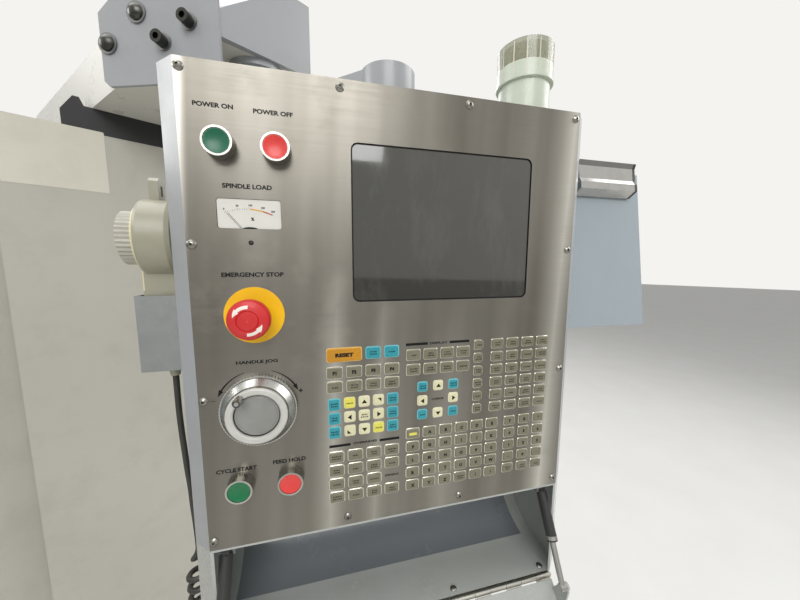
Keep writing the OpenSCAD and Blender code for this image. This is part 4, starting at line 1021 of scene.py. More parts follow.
KEY_ORANGE = Moulded("key_orange", "#c68b1c", "#bb821a", rough=0.28)

# Inks
BLACK_INK, DULL_INK = Ink("black_ink", "#0b0b0b"), Ink("dull_ink", "#11110f")
WHITE_INK = Ink("white_ink", "#efe6dc")
YELLOW_INK, RED_INK = Ink("yellow_ink", "#e0a81c"), Ink("red_ink", "#b8352c")


class Slot(Enum):
    """The record's material slots, which new pieces are given but take no finish from."""

    CORD = "cord_rubber"
    KEY_GREY = "key_grey"
    KEY_TEAL = "key_teal"
    BRIGHT = "bright_steel"
    RED = "stop_red"
    DIAL = "dial_metal"
    METER = "meter_face"
    BLACK = "black_paint"
    CREAM = "cream_paint"
    BEACON = "beacon_body"
    GLASS = "display_glass"


def made(
    name: str, surface: Surface, finish: Finish, body: str, slot: Slot, smooth: bool = True
) -> bpy.types.Object:
    """Makes a piece from a surface in metres, gives it its finish, and rides it on its body.

    Args:
        name: the piece's name.
        surface: points and faces in metres of the machine's frame.
        finish: its finish.
        body: the body that it moves with.
        slot: not used.
        smooth: whether faces that meet at a slight angle are shaded as one.

    Returns:
        The piece.
    """
    mesh = bpy.data.meshes.new(name)
    polygons = [polygon for group in surface.faces for polygon in group.tolist()]
    mesh.from_pydata(surface.points.tolist(), [], polygons)
    work = bmesh.new()
    work.from_mesh(mesh)
    bmesh.ops.remove_doubles(work, verts=work.verts, dist=WELD_DISTANCE)
    bmesh.ops.recalc_face_normals(work, faces=work.faces)
    work.to_mesh(mesh)
    work.free()
    mesh.polygons.foreach_set("use_smooth", np.full(len(mesh.polygons), smooth))
    if smooth:
        mesh.set_sharp_from_angle(angle=SMOOTH_ANGLE)
    mesh.materials.append(finish.material())
    piece = bpy.data.objects.new(name, mesh)
    bpy.context.scene.collection.objects.link(piece)
    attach(piece, body)
    LOG.info("%s: %d faces on %s", name, len(mesh.polygons), body)
    return piece


def flat_made(
    name: str, parts: Sequence[Surface], place: Place, finish: Finish, body: str, slot: Slot
) -> None:
    """Makes one piece of many small flat parts, such as prints, that are drawn in a place.

    Args:
        name: the piece's name.
        parts: its parts, in millimetres of the place.
        place: where they are drawn.
        finish: its finish.
        body: the body that it moves with.
        slot: passed on to made, which does not use it.
    """
    made(name, Surface.joined(parts).set_in(place), finish, body, slot, smooth=False)


# Lettering
class Lettering:
    """Words as thin raised ink, each kept at a cap height of one and stretched where it is put."""

    def __init__(self, weight: float = 0.04) -> None:
        """Starts with no words kept.

        Args:
            weight: how far each letter's strokes are grown, in the font's own size.
        """
        self.weight = weight
        self.kept: dict[str, Surface] = {}

    def outline(self, words: str) -> Surface:
        """The words in cap heights, centred on the origin, from 0 to 1 thick.

        Args:
            words: what is written.

        Returns:
            The words' surface.
        """
        if words in self.kept:
            return self.kept[words]
        curve = bpy.data.curves.new("words", "FONT")
        curve.body, curve.extrude, curve.offset, curve.resolution_u = words, 0.5, self.weight, 3
        holder = bpy.data.objects.new("words", curve)
        bpy.context.scene.collection.objects.link(holder)
        mesh = holder.evaluated_get(bpy.context.evaluated_depsgraph_get()).to_mesh()
        flat = np.empty(len(mesh.vertices) * 3)
        mesh.vertices.foreach_get("co", flat)
        points = flat.reshape(-1, 3)
        faces = [np.array([list(p.vertices)]) for p in mesh.polygons]
        bpy.data.objects.remove(holder)
        bpy.data.curves.remove(curve)
        low, high = points.min(0), points.max(0)
        points = (points - (low + high) / 2) / max(high[1] - low[1], 0.3)
        points[:, 2] = points[:, 2] > 0
        self.kept[words] = Surface(points, faces)
        return self.kept[words]

    def written(
        self, words: str, x: float, y: float, height: float, width: float = 0.0, low: float = 0.0,
        thick: float = 0.05,
    ) -> Surface:
        """Words centred at a place, in millimetres.

        Args:
            words: what is written.
            x: place across.
            y: place up.
            height: cap height.
            width: width of the whole, or 0 for the letters' own.
            low: height of the ink's underside.
            thick: thickness of the ink.

        Returns:
            The words' surface, scaled by (width, height, thick) and moved.
        """
        unit = self.outline(words)
        across = width / np.ptp(unit.points[:, 0]) if width else height
        scale, start = np.array([across, height, thick]), np.array([x, y, low])
        return Surface(unit.points * scale + start, unit.faces)


# Studio
@dataclass(frozen=True)
class Studio:
    """Camera, floor, sky and lamps.

    Args:
        eye: the camera's place in metres.
        right: the camera's direction to the right.
        up: the camera's direction up.
        forward: where it looks.
        lens: its focal length in millimetres.
        sensor: its picture's width in millimetres.
        nearest: the nearest distance that it sees, in metres.
        floor_side: the floor's side in metres.
        ambient: strength of the sky's light on the object.
        lamps: each lamp's place, target, side and power.
    """

    eye: Vec = (0.691, -1.700, 1.5694)
    right: Vec = (0.70569, -0.70852, 0.00274)
    up: Vec = (0.08313, 0.08663, 0.99277)
    forward: Vec = (0.70363, 0.70036, -0.12003)
    lens: float = 14.05
    sensor: float = 36.0
    nearest: float = 0.02
    floor_side: float = 60.0
    ambient: float = 0.42
    lamps: tuple[tuple[Vec, Vec, float, float], ...] = (
        ((-1.6, -4.6, 4.4), (0.6, -1.0, 1.2), 3.0, 150.0),
        ((4.2, -3.6, 3.6), (0.6, -0.8, 1.2), 2.6, 80.0),
        ((-4.4, 3.6, 4.2), (0.0, 0.2, 1.1), 3.0, 150.0),
        ((4.0, 4.2, 4.0), (0.0, 0.4, 1.1), 3.0, 130.0),
        ((0.0, 0.0, 5.2), (0.0, 0.0, 0.0), 3.4, 110.0),
    )

    def camera(self) -> None:
        """Makes the camera at the photograph's viewpoint."""
        data = bpy.data.cameras.new("camera")
        data.lens, data.sensor_width, data.clip_start = self.lens, self.sensor, self.nearest
        camera = bpy.data.objects.new("camera", data)
        away = [-f for f in self.forward]
        camera.matrix_world = Matrix((*zip(self.right, self.up, away, self.eye), (0, 0, 0, 1)))
        bpy.context.scene.collection.objects.link(camera)
        bpy.context.scene.camera = camera

    def floor(self) -> None:
        """Makes the pale floor."""
        half = self.floor_side / 2
        corners = [(-half, -half, 0), (half, -half, 0), (half, half, 0), (-half, half, 0)]
        mesh = bpy.data.meshes.new("floor")
        mesh.from_pydata(corners, [], [(0, 1, 2, 3)])
        sh = Shader("floor_paint")
        grain = sh.noise(3.0, 4.0)
        base = sh.mix(grain.spread(0.3, 0.7), rgb("#d9d8d4"), rgb("#dddcd9"))
        mesh.materials.append(sh.finish(sh.principled(Base_Color=base, Roughness=0.7)))
        floor = bpy.data.objects.new("floor", mesh)
        bpy.context.scene.collection.objects.link(floor)
        floor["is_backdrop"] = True

    def sky(self) -> None:
        """Lights the scene softly, and shows white to the camera and to gloss and glass."""
        world = bpy.data.worlds.new("sky")
        bpy.context.scene.world = world
        world.use_nodes = True
        nodes = Nodes(world.node_tree)
        path = nodes.node("ShaderNodeLightPath", {}, {})
        camera, gloss, glass = (
            Value(nodes, path.outputs[f"Is {kind} Ray"])
            for kind in ("Camera", "Glossy", "Transmission")
        )
        seen = camera.math("MAXIMUM", gloss.math("MAXIMUM", glass))
        shown = nodes.value("ShaderNodeBackground", {}, {"Color": rgb("#f4f3f0")})
        soft = {"Color": rgb("#f6f7f8"), "Strength": self.ambient}
        lit = nodes.value("ShaderNodeBackground", {}, soft)
        mixed = nodes.value("ShaderNodeMixShader", {}, {0: seen, 1: lit, 2: shown})
        nodes.node("ShaderNodeOutputWorld", {}, {"Surface": mixed})

    def light(self) -> None:
        """Hangs the soft lamps, each turned to what it lights."""
        for i, (stand, target, side, power) in enumerate(self.lamps):
            data = bpy.data.lights.new(f"lamp_{i}", "AREA")
            data.shape, data.size, data.energy = "SQUARE", side, power
            lamp = bpy.data.objects.new(f"lamp_{i}", data)
            away = np.array(stand) - np.array(target)
            away = away / np.linalg.norm(away)
            side_way = np.cross(BACK if abs(away[2]) > 0.99 else UP, away)
            side_way = side_way / np.linalg.norm(side_way)
            rows = np.column_stack([side_way, np.cross(away, side_way), away, stand])
            lamp.matrix_world = Matrix((*rows.tolist(), (0, 0, 0, 1)))
            bpy.context.scene.collection.objects.link(lamp)

    def build(self) -> None:
        """Makes the camera first, then the floor, the sky and the lamps."""
        self.camera()
        self.floor()
        self.sky()
        self.light()
        bpy.context.scene.view_settings.view_transform = "Standard"


# The handle's cord
@dataclass(frozen=True)
class HandleCord:
    """The remote handle's curly cord, from its strain relief down, round and up to the gland.

    Args:
        cord_d: the cord's thickness.
        coil_r: radius of the coil's centre line.
        pitch: the coil's advance in one turn.
        slack_pitch: what is added to the pitch where the coil starts and ends.
        ramp: length over which the coil grows from the straight lead.
        spacing: distance between the route's points.
        real_length: the real cord's length in metres; not used.
        lead_start: the lead from the handle, across, depth and height from the panel's corner.
        coiled: the coiled stretch, in the same way.
        lead_end: the lead to the gland, in the same way.
    """

    cord_d: float = 7.0
    coil_r: float = 13.0
    pitch: float = 16.0
    slack_pitch: float = 60.0
    ramp: float = 46.0
    spacing: float = 0.8
    real_length: float = 2.25
    lead_start: tuple[Vec, ...] = (
        (-44, 62.5, -326), (-44, 62.5, -350), (-44, 63, -376), (-43.5, 64, -402), (-43, 66, -428),
        (-42.5, 68, -454), (-41.5, 70, -480), (-41, 71, -506), (-40, 72, -532), (-39, 72, -560),
    )
    coiled: tuple[Vec, ...] = (
        (-39, 72, -588), (-39, 72, -620), (-39, 73, -655), (-39, 77, -690), (-38, 88, -720),
        (-37, 105, -740), (-35, 126, -746), (-33, 146, -738), (-31, 162, -716), (-30, 170, -688),
        (-29, 172, -655), (-29, 172, -620), (-29, 172, -588),
    )
    lead_end: tuple[Vec, ...] = (
        (-29, 172, -562), (-28, 173, -538), (-26, 175, -515), (-19, 178, -494), (-7, 182, -479),
        (5, 185, -472), (15, 184, -470), (20, 178, -470), (20, 167.5, -470),
    )

    def line(self) -> np.ndarray:
        """The cord's centre line.

        The coil is c(s) + r(s) (cos q a + sin q b): c the route, a and b its carried frame, r
        grown and shrunk over a ramp at each end, and q turning once for each pitch, slower on
        the ramps.

        Returns:
            Its points in metres.
        """
        axis = through(self.lead_start + self.coiled + self.lead_end, self.spacing)
        run = run_along(axis)
        first, last = (
            np.argmin(np.linalg.norm(axis - np.array(end), axis=1))
            for end in (self.coiled[0], self.coiled[-1])
        )
        inside = np.minimum(run - run[first], run[last] - run) + self.ramp * 0.6
        grown = smooth_step(inside / self.ramp)
        turn_length = self.pitch + self.slack_pitch * (1 - grown)
        angle = np.cumsum(np.gradient(run) * 2 * np.pi / turn_length)[:, None]
        side, other = carried_frames(directions(axis))
        radius = (self.coil_r * grown)[:, None]
        line = axis + radius * (np.cos(angle) * side + np.sin(angle) * other)
        return (line @ np.array([ACROSS, INWARDS, UP]) + np.array(CORNER)) * MM

    def build(self) -> None:
        line = self.line()
        LOG.info("handle_cord: %.3f m along its line", run_along(line)[-1])
        curve = bpy.data.curves.new("handle_cord", "CURVE")
        curve.dimensions, curve.bevel_resolution = "3D", 2
        curve.bevel_depth = self.cord_d / 2 * MM
        curve.use_fill_caps = True
        spline = curve.splines.new("POLY")
        spline.points.add(len(line) - 1)
        spline.points.foreach_set("co", np.c_[line, np.ones(len(line))].ravel())
        spline.use_smooth = True
        piece = bpy.data.objects.new("handle_cord", curve)
        bpy.context.scene.collection.objects.link(piece)
        curve.materials.append(CORD_RUBBER.material())
        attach(piece, "pendant")
        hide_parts("handle_lead", "handle_curl")


# Keys
class Mark(Enum):
    """What a key carries that is neither a word nor an arrow."""

    SMALL = "="
    PALE = "#"
    ABSENT = "x"


@dataclass(frozen=True)
class KeyKind:
    """What the keys of one colour share.

    Args:
        piece: the piece's name.
        finish: the finish of the caps.
        rim: the finish of the rims.
        slot: the record's slot.
        packed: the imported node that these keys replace.
    """

    piece: str
    finish: Finish
    rim: Finish
    slot: Slot
    packed: str = "colour_keys"


@dataclass(frozen=True)
class KeyBlock:
    """A block of keys in rows.

    Args:
        first: the first key, across and down.
        count: columns and rows.
        pitch: spacing across and down.
        size: a key's width and height.
        labels: what each key carries, row by row: a word, an arrow's sign or a Mark's.
        kinds: the letters of the keys' colours, row by row, or one for all.
        lobed: whether the right side is a half round.
    """

    first: Pair
    count: tuple[int, int]
    pitch: Pair
    size: Pair
    labels: tuple[str, ...]
    kinds: str = "g"
    lobed: bool = False

    def keys(self) -> list[tuple[float, float, str, str]]:
        """Finds the keys that are there: first + (i, j) x pitch.

        Returns:
            Across, down, label and colour letter of each.
        """
        found = []
        for n, label in enumerate(self.labels):
            row, column = divmod(n, self.count[0])
            if label != Mark.ABSENT.value:
                u = self.first[0] + column * self.pitch[0]
                v = self.first[1] + row * self.pitch[1]
                found.append((u, v, label, self.kinds[n % len(self.kinds)]))
        return found


def key_rim(name: str, pale: str, dark: str) -> Moulded:
    """The finish of a coloured key's rim."""
    return Moulded(name, pale, dark, rough=0.2)


@dataclass
class Keypad:
    """The keypad: keys with a bright rim and a raised cap, and their prints.

    Args:
        height: how far a cap stands out of the panel.
        rim_h: how far its rim does.
        rim: width of the rim.
        corner: corner radius of a key.
        sink: how far the ink starts below the cap.
        ink: how far the ink stands over the cap.
        seed: start of the small marks' random widths.
        pen: what the words are written with.
        kinds: the kinds of key, by letter.
        blocks: the blocks of keys.
    """

    height: float = 2.2
    rim_h: float = 0.9
    rim: float = 1.3
    corner: float = 2.8
    sink: float = 0.02
    ink: float = 0.04
    seed: int = 40
    pen: Lettering = field(default_factory=lambda: Lettering(0.07))
    kinds: tuple[tuple[str, KeyKind], ...] = (
        ("g", KeyKind("keys_grey", KEY_GREY, Metal("key_grey_rim", "#d2cfbf", "#9f9c8c", rough=0.2),
                      Slot.KEY_GREY, "grey_keys")),
        ("t", KeyKind("keys_teal", KEY_TEAL, key_rim("key_teal_rim", "#7cc4cb", "#62b2bb"),
                      Slot.KEY_TEAL)),
        ("c", KeyKind("keys_cream", KEY_CREAM, key_rim("key_cream_rim", "#ece8cc", "#cfcab0"),
                      Slot.KEY_TEAL)),
        ("y", KeyKind("keys_yellow", KEY_YELLOW, key_rim("key_yellow_rim", "#ece6a0", "#d8d28c"),
                      Slot.KEY_TEAL)),
        ("o", KeyKind("key_orange", KEY_ORANGE, key_rim("key_orange_rim", "#e8c070", "#c99b48"),
                      Slot.KEY_TEAL)),
    )
    blocks: tuple[KeyBlock, ...] = (
        KeyBlock((141.5, 318.0), (4, 2), (22.6, 17.3), (19.4, 14.6),
                 ("F1", "F2", "F3", "F4") + ("=",) * 4),
        KeyBlock((141.5, 422.4), (4, 4), (22.6, 17.3), (19.4, 14.6),
                 ("=",) * 11 + ("x",) + ("=",) * 4),
        KeyBlock((236.5, 303.3), (4, 2), (22.0, 18.6), (18.8, 14.8), ("=",) * 8),
        KeyBlock((324.5, 295.8), (1, 6), (22.0, 17.2), (14.6, 13.6), ("=",) * 6, lobed=True),
        KeyBlock((350.9, 295.8), (4, 6), (22.6, 17.2), (18.6, 13.8), ("=",) * 24),
        KeyBlock((236.4, 405.0), (6, 5), (22.1, 17.5), (18.6, 14.4),
                 ("#",) + tuple("ABCDEFGHIJKLMNOPQRSTUVWXYZ") + ("=", "(", ")")),
        KeyBlock((373.9, 405.0), (3, 5), (22.5, 17.3), (17.6, 14.0),
                 tuple("789456123-0.") + ("=",) * 3),
        KeyBlock((153.1, 296.9), (1, 1), (0.0, 0.0), (41.0, 17.0), ("RESET",), "o"),
        KeyBlock((186.7, 296.6), (2, 1), (22.4, 0.0), (18.4, 15.0), ("=", "="), "t"),
        KeyBlock((140.3, 356.4), (1, 3), (0.0, 17.3), (14.4, 15.0), ("=",) * 3, "t"),
        KeyBlock((158.2, 355.8), (3, 3), (17.3, 17.4), (13.6, 14.0), tuple("=^/<=>/v="),
                 "ycccccccy"),
        KeyBlock((210.4, 356.0), (1, 3), (0.0, 17.3), (14.4, 15.0), ("=",) * 3, "t"),
        KeyBlock((248.6, 344.8), (3, 3), (20.7, 18.1), (13.4, 13.4), tuple("=^=<x>=v="),
                 "tctcgctct"),
    )

    def key(self, block: KeyBlock) -> Surface:
        """One key: a rounded stack that steps in from its rim to its cap.

        A lobed key's right side is drawn in by x / (w / 2) (1 - sqrt(1 - y^2)), to a half round.

        Args:
            block: the block that it belongs to.

        Returns:
            The key, centred on its seat.
        """
        (w, h), rim, rim_h, cap = block.size, self.rim, self.rim_h, self.height
        levels = [
            (0.0, 0.0), (0.0, rim_h - 0.3), (0.35, rim_h), (rim - 0.15, rim_h),
            (rim, rim_h + 0.2), (rim + 0.1, cap - 0.35), (rim + 0.5, cap),
        ]
        shape = lozenge(w, h, self.corner, levels)
        if block.lobed:
            x, y = shape.points[:, 0], shape.points[:, 1]
            drop = 1 - np.sqrt(np.clip(1 - (y / (h / 2) * 0.92) ** 2, 0, 1))
            shape.points[:, 0] = x - np.where(x > 0, x / (w / 2) * drop, 0) * h * 0.42
        return shape

    def inked(self, outline: np.ndarray, x: float, y: float) -> Surface:
        """A flat outline as ink on a cap, at a place across and up."""
        return plate(outline, self.height - self.sink, self.height + self.ink).shifted(x, y)

    def marks(self, rng: np.random.Generator, x: float, y: float, size: Pair) -> list[Surface]:
        """Small upright marks in one or two rows, as worn fine print reads from a step away.

        Args:
            rng: the source of the marks' widths.
            x: the key's place across.
            y: the key's place up.
            size: the key's size.

        Returns:
            The marks.
        """
        rows = 2 if rng.random() < 0.7 else 1
        room, gap, full, row_pitch = size[0] - 2 * self.rim - 3.2, 0.5, 2.1, 3.0
        found = []
        for row in range(rows):
            letters = rng.integers(4, max(5, int(room / full)) + 1)
            widths = rng.uniform(0.9, 1.55, letters)
            starts = np.cumsum(widths + gap) - widths - gap
            span = starts[-1] + widths[-1]
            middle = y + (row_pitch / 2 - row_pitch * row if rows == 2 else 0.0)
            for start, wide in zip(starts, widths):
                tall = full * rng.uniform(0.8, 1.0)
                at = x - span / 2 + start + wide / 2
                found.append(self.inked(rounded(wide, tall, 0.2, 1), at, middle))
        return found

    def arrow(self, sign: str, x: float, y: float) -> Surface:
        """A solid arrowhead that points up, down, left or right, or a corner triangle.

        Args:
            sign: one of ^ v < > /.
            x: its place across.
            y: its place up.

        Returns:
            The arrow.
        """
        if sign == "/":
            outward = 1 if x > 180 else -1
            outline = np.array([[-1.3, 3.0], [3.3, 3.0], [3.3, -1.6]]) * outward
        else:
            turn = math.radians(90.0 * "^<v>".index(sign))
            c, s = math.cos(turn), math.sin(turn)
            head = np.array([[-3.3, -1.9], [3.3, -1.9], [0.0, 2.8]])
            outline = head @ np.array([[c, s], [-s, c]])
        return self.inked(outline, x, y)

    def word(self, label: str, x: float, y: float) -> Surface:
        """A key's word or letter.

        Args:
            label: what is written.
            x: its place across.
            y: its place up.

        Returns:
            The word, in the size that its key has room for.
        """
        tall, wide = {"RESET": (4.8, 21.0), "-": (1.0, 3.0), ".": (1.1, 1.1)}.get(label, (4.5, 0.0))
        low, thick = self.height - self.sink, self.sink + self.ink
        return self.pen.written(label, x, y, tall, wide, low, thick)

    def build(self) -> None:
        """Makes the keys, one piece for each colour, and their prints."""
        rng = np.random.default_rng(self.seed)
        caps: dict[str, list[Surface]] = {}
        prints: list[Surface] = []
        pale: list[Surface] = []
        for block in self.blocks:
            shape = self.key(block)
            for u, v, label, kind in block.keys():
                caps.setdefault(kind, []).append(shape.shifted(u, -v))
                if label == Mark.SMALL.value:
                    prints += self.marks(rng, u, -v, block.size)
                elif label == Mark.PALE.value:
                    pale.append(self.inked(rounded(10.0, 3.4, 0.6), u, -v))
                elif label in "^<v>/":
                    prints.append(self.arrow(label, u, -v))
                else:
                    prints.append(self.word(label, u, -v))
        rims = Zone((PANEL.slab(PANEL.out, -np.inf, self.rim_h + 0.12),))
        for letter, kind in self.kinds:
            finish = Zoned(kind.finish.name + "_key", kind.finish, ((rims, kind.rim),))
            surface = Surface.joined(caps[letter]).set_in(PANEL)
            piece = made(kind.piece, surface, finish, "pendant", kind.slot)
            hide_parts(kind.packed)
        flat_made("key_prints", prints, PANEL, DULL_INK, "pendant", Slot.BLACK)
        flat_made("shift_print", pale, PANEL, KEY_YELLOW, "pendant", Slot.KEY_TEAL)


# The control panel's prints, meter, lamp and display
@dataclass
class PanelPrints:
    """The words, the bars beside them and the two bent arrows over the dial.

    Args:
        ink: thickness of the ink.
        words: each word, its place across and down, its height and its width.
        bars: each bar's two ends across and its place down.
        bar_h: height of a bar.
        arc_r: radius of the arrows about the dial.
        shaft: angles from the top at which an arrow's shaft starts and ends.
        shaft_half: half its width at its start and end.
        head: angles at which its head starts and ends.
        head_half: half the head's width.
        pen: what the words are written with.
    """

    ink: float = 0.06
    words: tuple[tuple[str, float, float, float, float], ...] = (
        ("POWER ON", 32.4, 40.2, 4.6, 35.6), ("POWER OFF", 87.0, 41.5, 4.6, 37.6),
        ("SPINDLE LOAD", 59.3, 114.8, 4.8, 46.6), ("EMERGENCY STOP", 60.3, 203.9, 4.8, 60.6),
        ("HANDLE JOG", 59.7, 298.8, 4.8, 42.2), ("CYCLE START", 32.7, 420.4, 4.8, 41.4),
        ("FEED HOLD", 88.6, 417.8, 4.8, 36.0), ("DISPLAY", 269.5, 290.0, 2.9, 23.6),
        ("OVERRIDES", 176.2, 408.0, 2.9, 29.0), ("CURSOR", 269.3, 362.9, 2.6, 16.5),
        ("SPINDLE", 209.3, 456.8, 2.6, 17.6), ("-", 14.0, 338.6, 0.8, 5.0),
        ("+", 103.6, 335.2, 4.4, 4.4),
    )
    bars: tuple[Vec, ...] = (
        (133.6, 158.6, 408.5), (194.0, 219.0, 408.5), (227.0, 255.0, 290.0), (284.0, 311.0, 290.0),
    )
    bar_h: float = 3.2
    arc_r: float = 44.6
    shaft: Pair = (18.0, 58.0)
    shaft_half: Pair = (0.25, 0.95)
    head: Pair = (57.0, 67.0)
    head_half: float = 2.6
    pen: Lettering = field(default_factory=Lettering)

    def arrows(self, middle: Pair) -> list[Surface]:
        """The two bent arrows: a band r +- half (cos t, sin t) that widens, and a triangle.

        Args:
            middle: the dial's place, across and down.

        Returns:
            A shaft and a head for each side.
        """
        found = []
        (start, end), steps = self.head, 20
        for s in (-1, 1):
            edge = spokes(np.radians(90 - s * np.linspace(*self.shaft, steps)))
            half = np.linspace(*self.shaft_half, steps)[:, None]
            shaft = np.concatenate([(self.arc_r + half) * edge, ((self.arc_r - half) * edge)[::-1]])
            radii = self.arc_r + self.head_half * np.array([[1.0], [0.0], [-1.0]])
            head = radii * spokes(np.radians(90 - s * np.array([start, end, start])))
            for outline in (shaft, head):
                found.append(plate(outline[::s], 0.0, self.ink).shifted(middle[0], -middle[1]))
        return found

    def build(self) -> None:
        """Makes the prints."""
        prints = [
            self.pen.written(words, u, -v, tall, wide, 0.0, self.ink)
            for words, u, v, tall, wide in self.words
        ]
        for a, b, v in self.bars:
            bar = plate(rounded(b - a, self.bar_h, 0.3, 2), 0.0, self.ink)
            prints.append(bar.shifted((a + b) / 2, -v))
        prints += self.arrows(DIAL_AT)
        flat_made("panel_prints", prints, PANEL, BLACK_INK, "pendant", Slot.BLACK)


@dataclass
class Meter:
    """The load meter's scale, numbers, coloured bands and needle, drawn on its card.

    Args:
        place: the card's middle, a little behind the panel's face.
        ends: where the ticks start and end.
        ticks: how many there are.
        crest: across and up of the scale's highest point.
        bend: how fast the scale falls away from it.
        ink: thickness of the ink.
        numbers: each number and its place across.
        number_h: height of the numbers' middle over the scale.
        bands: each coloured band's start and end.
        band_heights: lower and upper edge of a band over the scale.
        shadow_shift: how far the needle's shadow lies beside it.
        pen: what the numbers are written with.
    """

    place: Place = on_panel(*METER_AT, -0.78)
    ends: Pair = (-23.0, 22.5)
    ticks: int = 21
    crest: Pair = (-2.0, 4.6)
    bend: float = 0.0092
    ink: float = 0.05
    numbers: tuple[tuple[str, float], ...] = (
        ("0", -24.0), ("50", -11.5), ("100", 1.0), ("150", 13.0), ("200", 22.5),
    )
    number_h: float = 4.6
    bands: tuple[Pair, Pair] = ((0.5, 13.0), (13.0, 21.5))
    band_heights: Pair = (0.1, 1.3)
    shadow_shift: float = 1.6
    pen: Lettering = field(default_factory=Lettering)

    def arc(self, x: np.ndarray | float) -> np.ndarray | float:
        """Height of the scale's line: crest - bend (x - crest's place)^2."""
        return self.crest[1] - self.bend * (x - self.crest[0]) ** 2

    def scale(self) -> list[Surface]:
        """The ticks, which lean outwards and are longer at every fifth, and the numbers.

        Returns:
            The parts in black.
        """
        found = []
        half = 0.12
        for n, x in enumerate(np.linspace(*self.ends, self.ticks)):
            tall = 1.5 if n % 5 else 2.6
            lean = -x * 0.012
            tick = np.array([[-half, 0.0], [half, 0.0], [half + lean, tall], [lean - half, tall]])
            found.append(plate(tick, 0.0, self.ink).shifted(x, self.arc(x)))
        for label, x in self.numbers:
            found.append(self.pen.written(label, x, self.arc(x) + self.number_h, 2.0))
        return found + [self.pen.written("%", 2.5, -4.6, 3.4)]

    def coloured(self, start: float, end: float) -> Surface:
        """A coloured band over the scale: the space between the line raised by two heights.

        Args:
            start: where it starts, across from the card's middle.
            end: where it ends.

        Returns:
            The band.
        """
        x = np.linspace(start, end, 12)
        low, high = (np.c_[x, self.arc(x) + over] for over in self.band_heights)
        return plate(np.concatenate([low, high[::-1]]), 0.0, self.ink + 0.02)

    def needle(self) -> list[Surface]:
        """The needle, its shadow and its hub, a squashed piece of a ring.

        Returns:
            The parts in black.
        """
        run = np.array([[-9.0, -14.5], [-8.6, -14.5], [-21.6, 1.0], [-22.0, 1.0]])
        shadow = plate(run, 0.0, 0.08).shifted(self.shadow_shift, 0.0)
        hub = band(0.01, 8.0, 20, 160, 14) * np.array([1.0, 0.3]) + np.array([0.0, -15.2])
        return [plate(run, 0.0, 0.25), shadow, plate(hub, 0.0, 0.5)]

    def build(self) -> None:
        """Makes the black parts and the two bands."""
        yellow, red = ([self.coloured(*ends)] for ends in self.bands)
        pieces = (
            ("meter_scale", self.scale() + self.needle(), BLACK_INK),
            ("meter_yellow", yellow, YELLOW_INK), ("meter_red", red, RED_INK),
        )
        for name, parts, ink in pieces:
            flat_made(name, parts, self.place, ink, "pendant", Slot.METER)


@dataclass
class LampAndDisplay:
    """The small dark lamp under the meter, and the dark line round the display's glass.

    Args:
        lamp: the lamp's profile, as radius and height.
        outer: width, height and corner radius of the line's outside.
        inner: the same of its inside.
        heights: its lower and upper face.
    """

    lamp: tuple[Pair, ...] = ((2.3, -2.6), (2.3, -0.9), (1.9, -0.2), (1.1, 0.25), (0.3, 0.4))
    outer: Vec = (225.4, 173.4, 7.7)
    inner: Vec = (222.6, 170.6, 6.4)
    heights: Pair = (-1.1, -0.95)

    def build(self) -> None:
        """Makes the lamp's dome and the line."""
        dome = revolved(self.lamp, 20).set_in(on_panel(*LAMP_AT))
        made("lamp_dome", dome, BLACK_RUBBER, "pendant", Slot.BLACK)
        line = rim(rounded(*self.outer, 8), rounded(*self.inner, 8), *self.heights)
        flat_made(
            "display_edge", [line], on_panel(*DISPLAY_AT), BLACK_INK, "pendant", Slot.GLASS
        )


# The stop button's and the dial's details
@dataclass
class StopDetails:
    """White turning arrows that follow the stop button's domed head.

    Args:
        place: the button's place.
        profile: radius and height of the head, from its middle out.
        radii: inner and outer radius of the arrows.
        starts: angles at which the two arrows start.
        shaft_angle: how far round a shaft runs.
        head_angle: how far round its head runs on.
        rise: how far the ink stands over the head.
        ink: thickness of the ink.
    """

    place: Place = on_panel(*STOP_AT)
    profile: tuple[Pair, ...] = (
        (0.0, 37.9), (9.0, 37.3), (10.5, 37.1), (14.0, 36.5), (18.5, 34.0),
    )
    radii: Pair = (10.9, 16.0)
    starts: Pair = (86.0, 266.0)
    shaft_angle: float = 48.0
    head_angle: float = 30.0
    rise: float = 0.1
    ink: float = 0.15

    def draped(self, start: float, end: float, shares: np.ndarray) -> Surface:
        """A strip laid on the head: z = h(r) + rise, between middle - share and middle + share.

        Args:
            start: angle in degrees at which it starts.
            end: angle at which it ends.
            shares: half its width at each step, as a share of the arrows' half width.

        Returns:
            The strip.
        """
        middle, half = sum(self.radii) / 2, (self.radii[1] - self.radii[0]) / 2
        r_table, z_table = zip(*self.profile)
        share = np.linspace(0, 1, 6)[None, :]
        inner, outer = (middle - half * shares)[:, None], (middle + half * shares)[:, None]
        r = inner * (1 - share) + outer * share
        way = spokes(np.radians(np.linspace(start, end, len(shares))))[:, None]
        top = (np.interp(r, r_table, z_table) + self.rise)[:, :, None]
        upper = np.concatenate([r[:, :, None] * way, top], -1)
        lower = (upper - np.array([0.0, 0.0, self.ink]))[:, ::-1]
        return lofted(np.concatenate([upper, lower], 1))

    def build(self) -> None:
        """Makes the two arrows."""
        parts = []
        for start in self.starts:
            neck = start + self.shaft_angle
            parts.append(self.draped(start, neck, np.full(14, 0.62)))
            parts.append(self.draped(neck, neck + self.head_angle, np.linspace(1.15, 0.04, 10)))
        arrows = Surface.joined(parts).set_in(self.place)
        made("stop_arrows", arrows, WHITE_INK, "stop_button", Slot.RED)


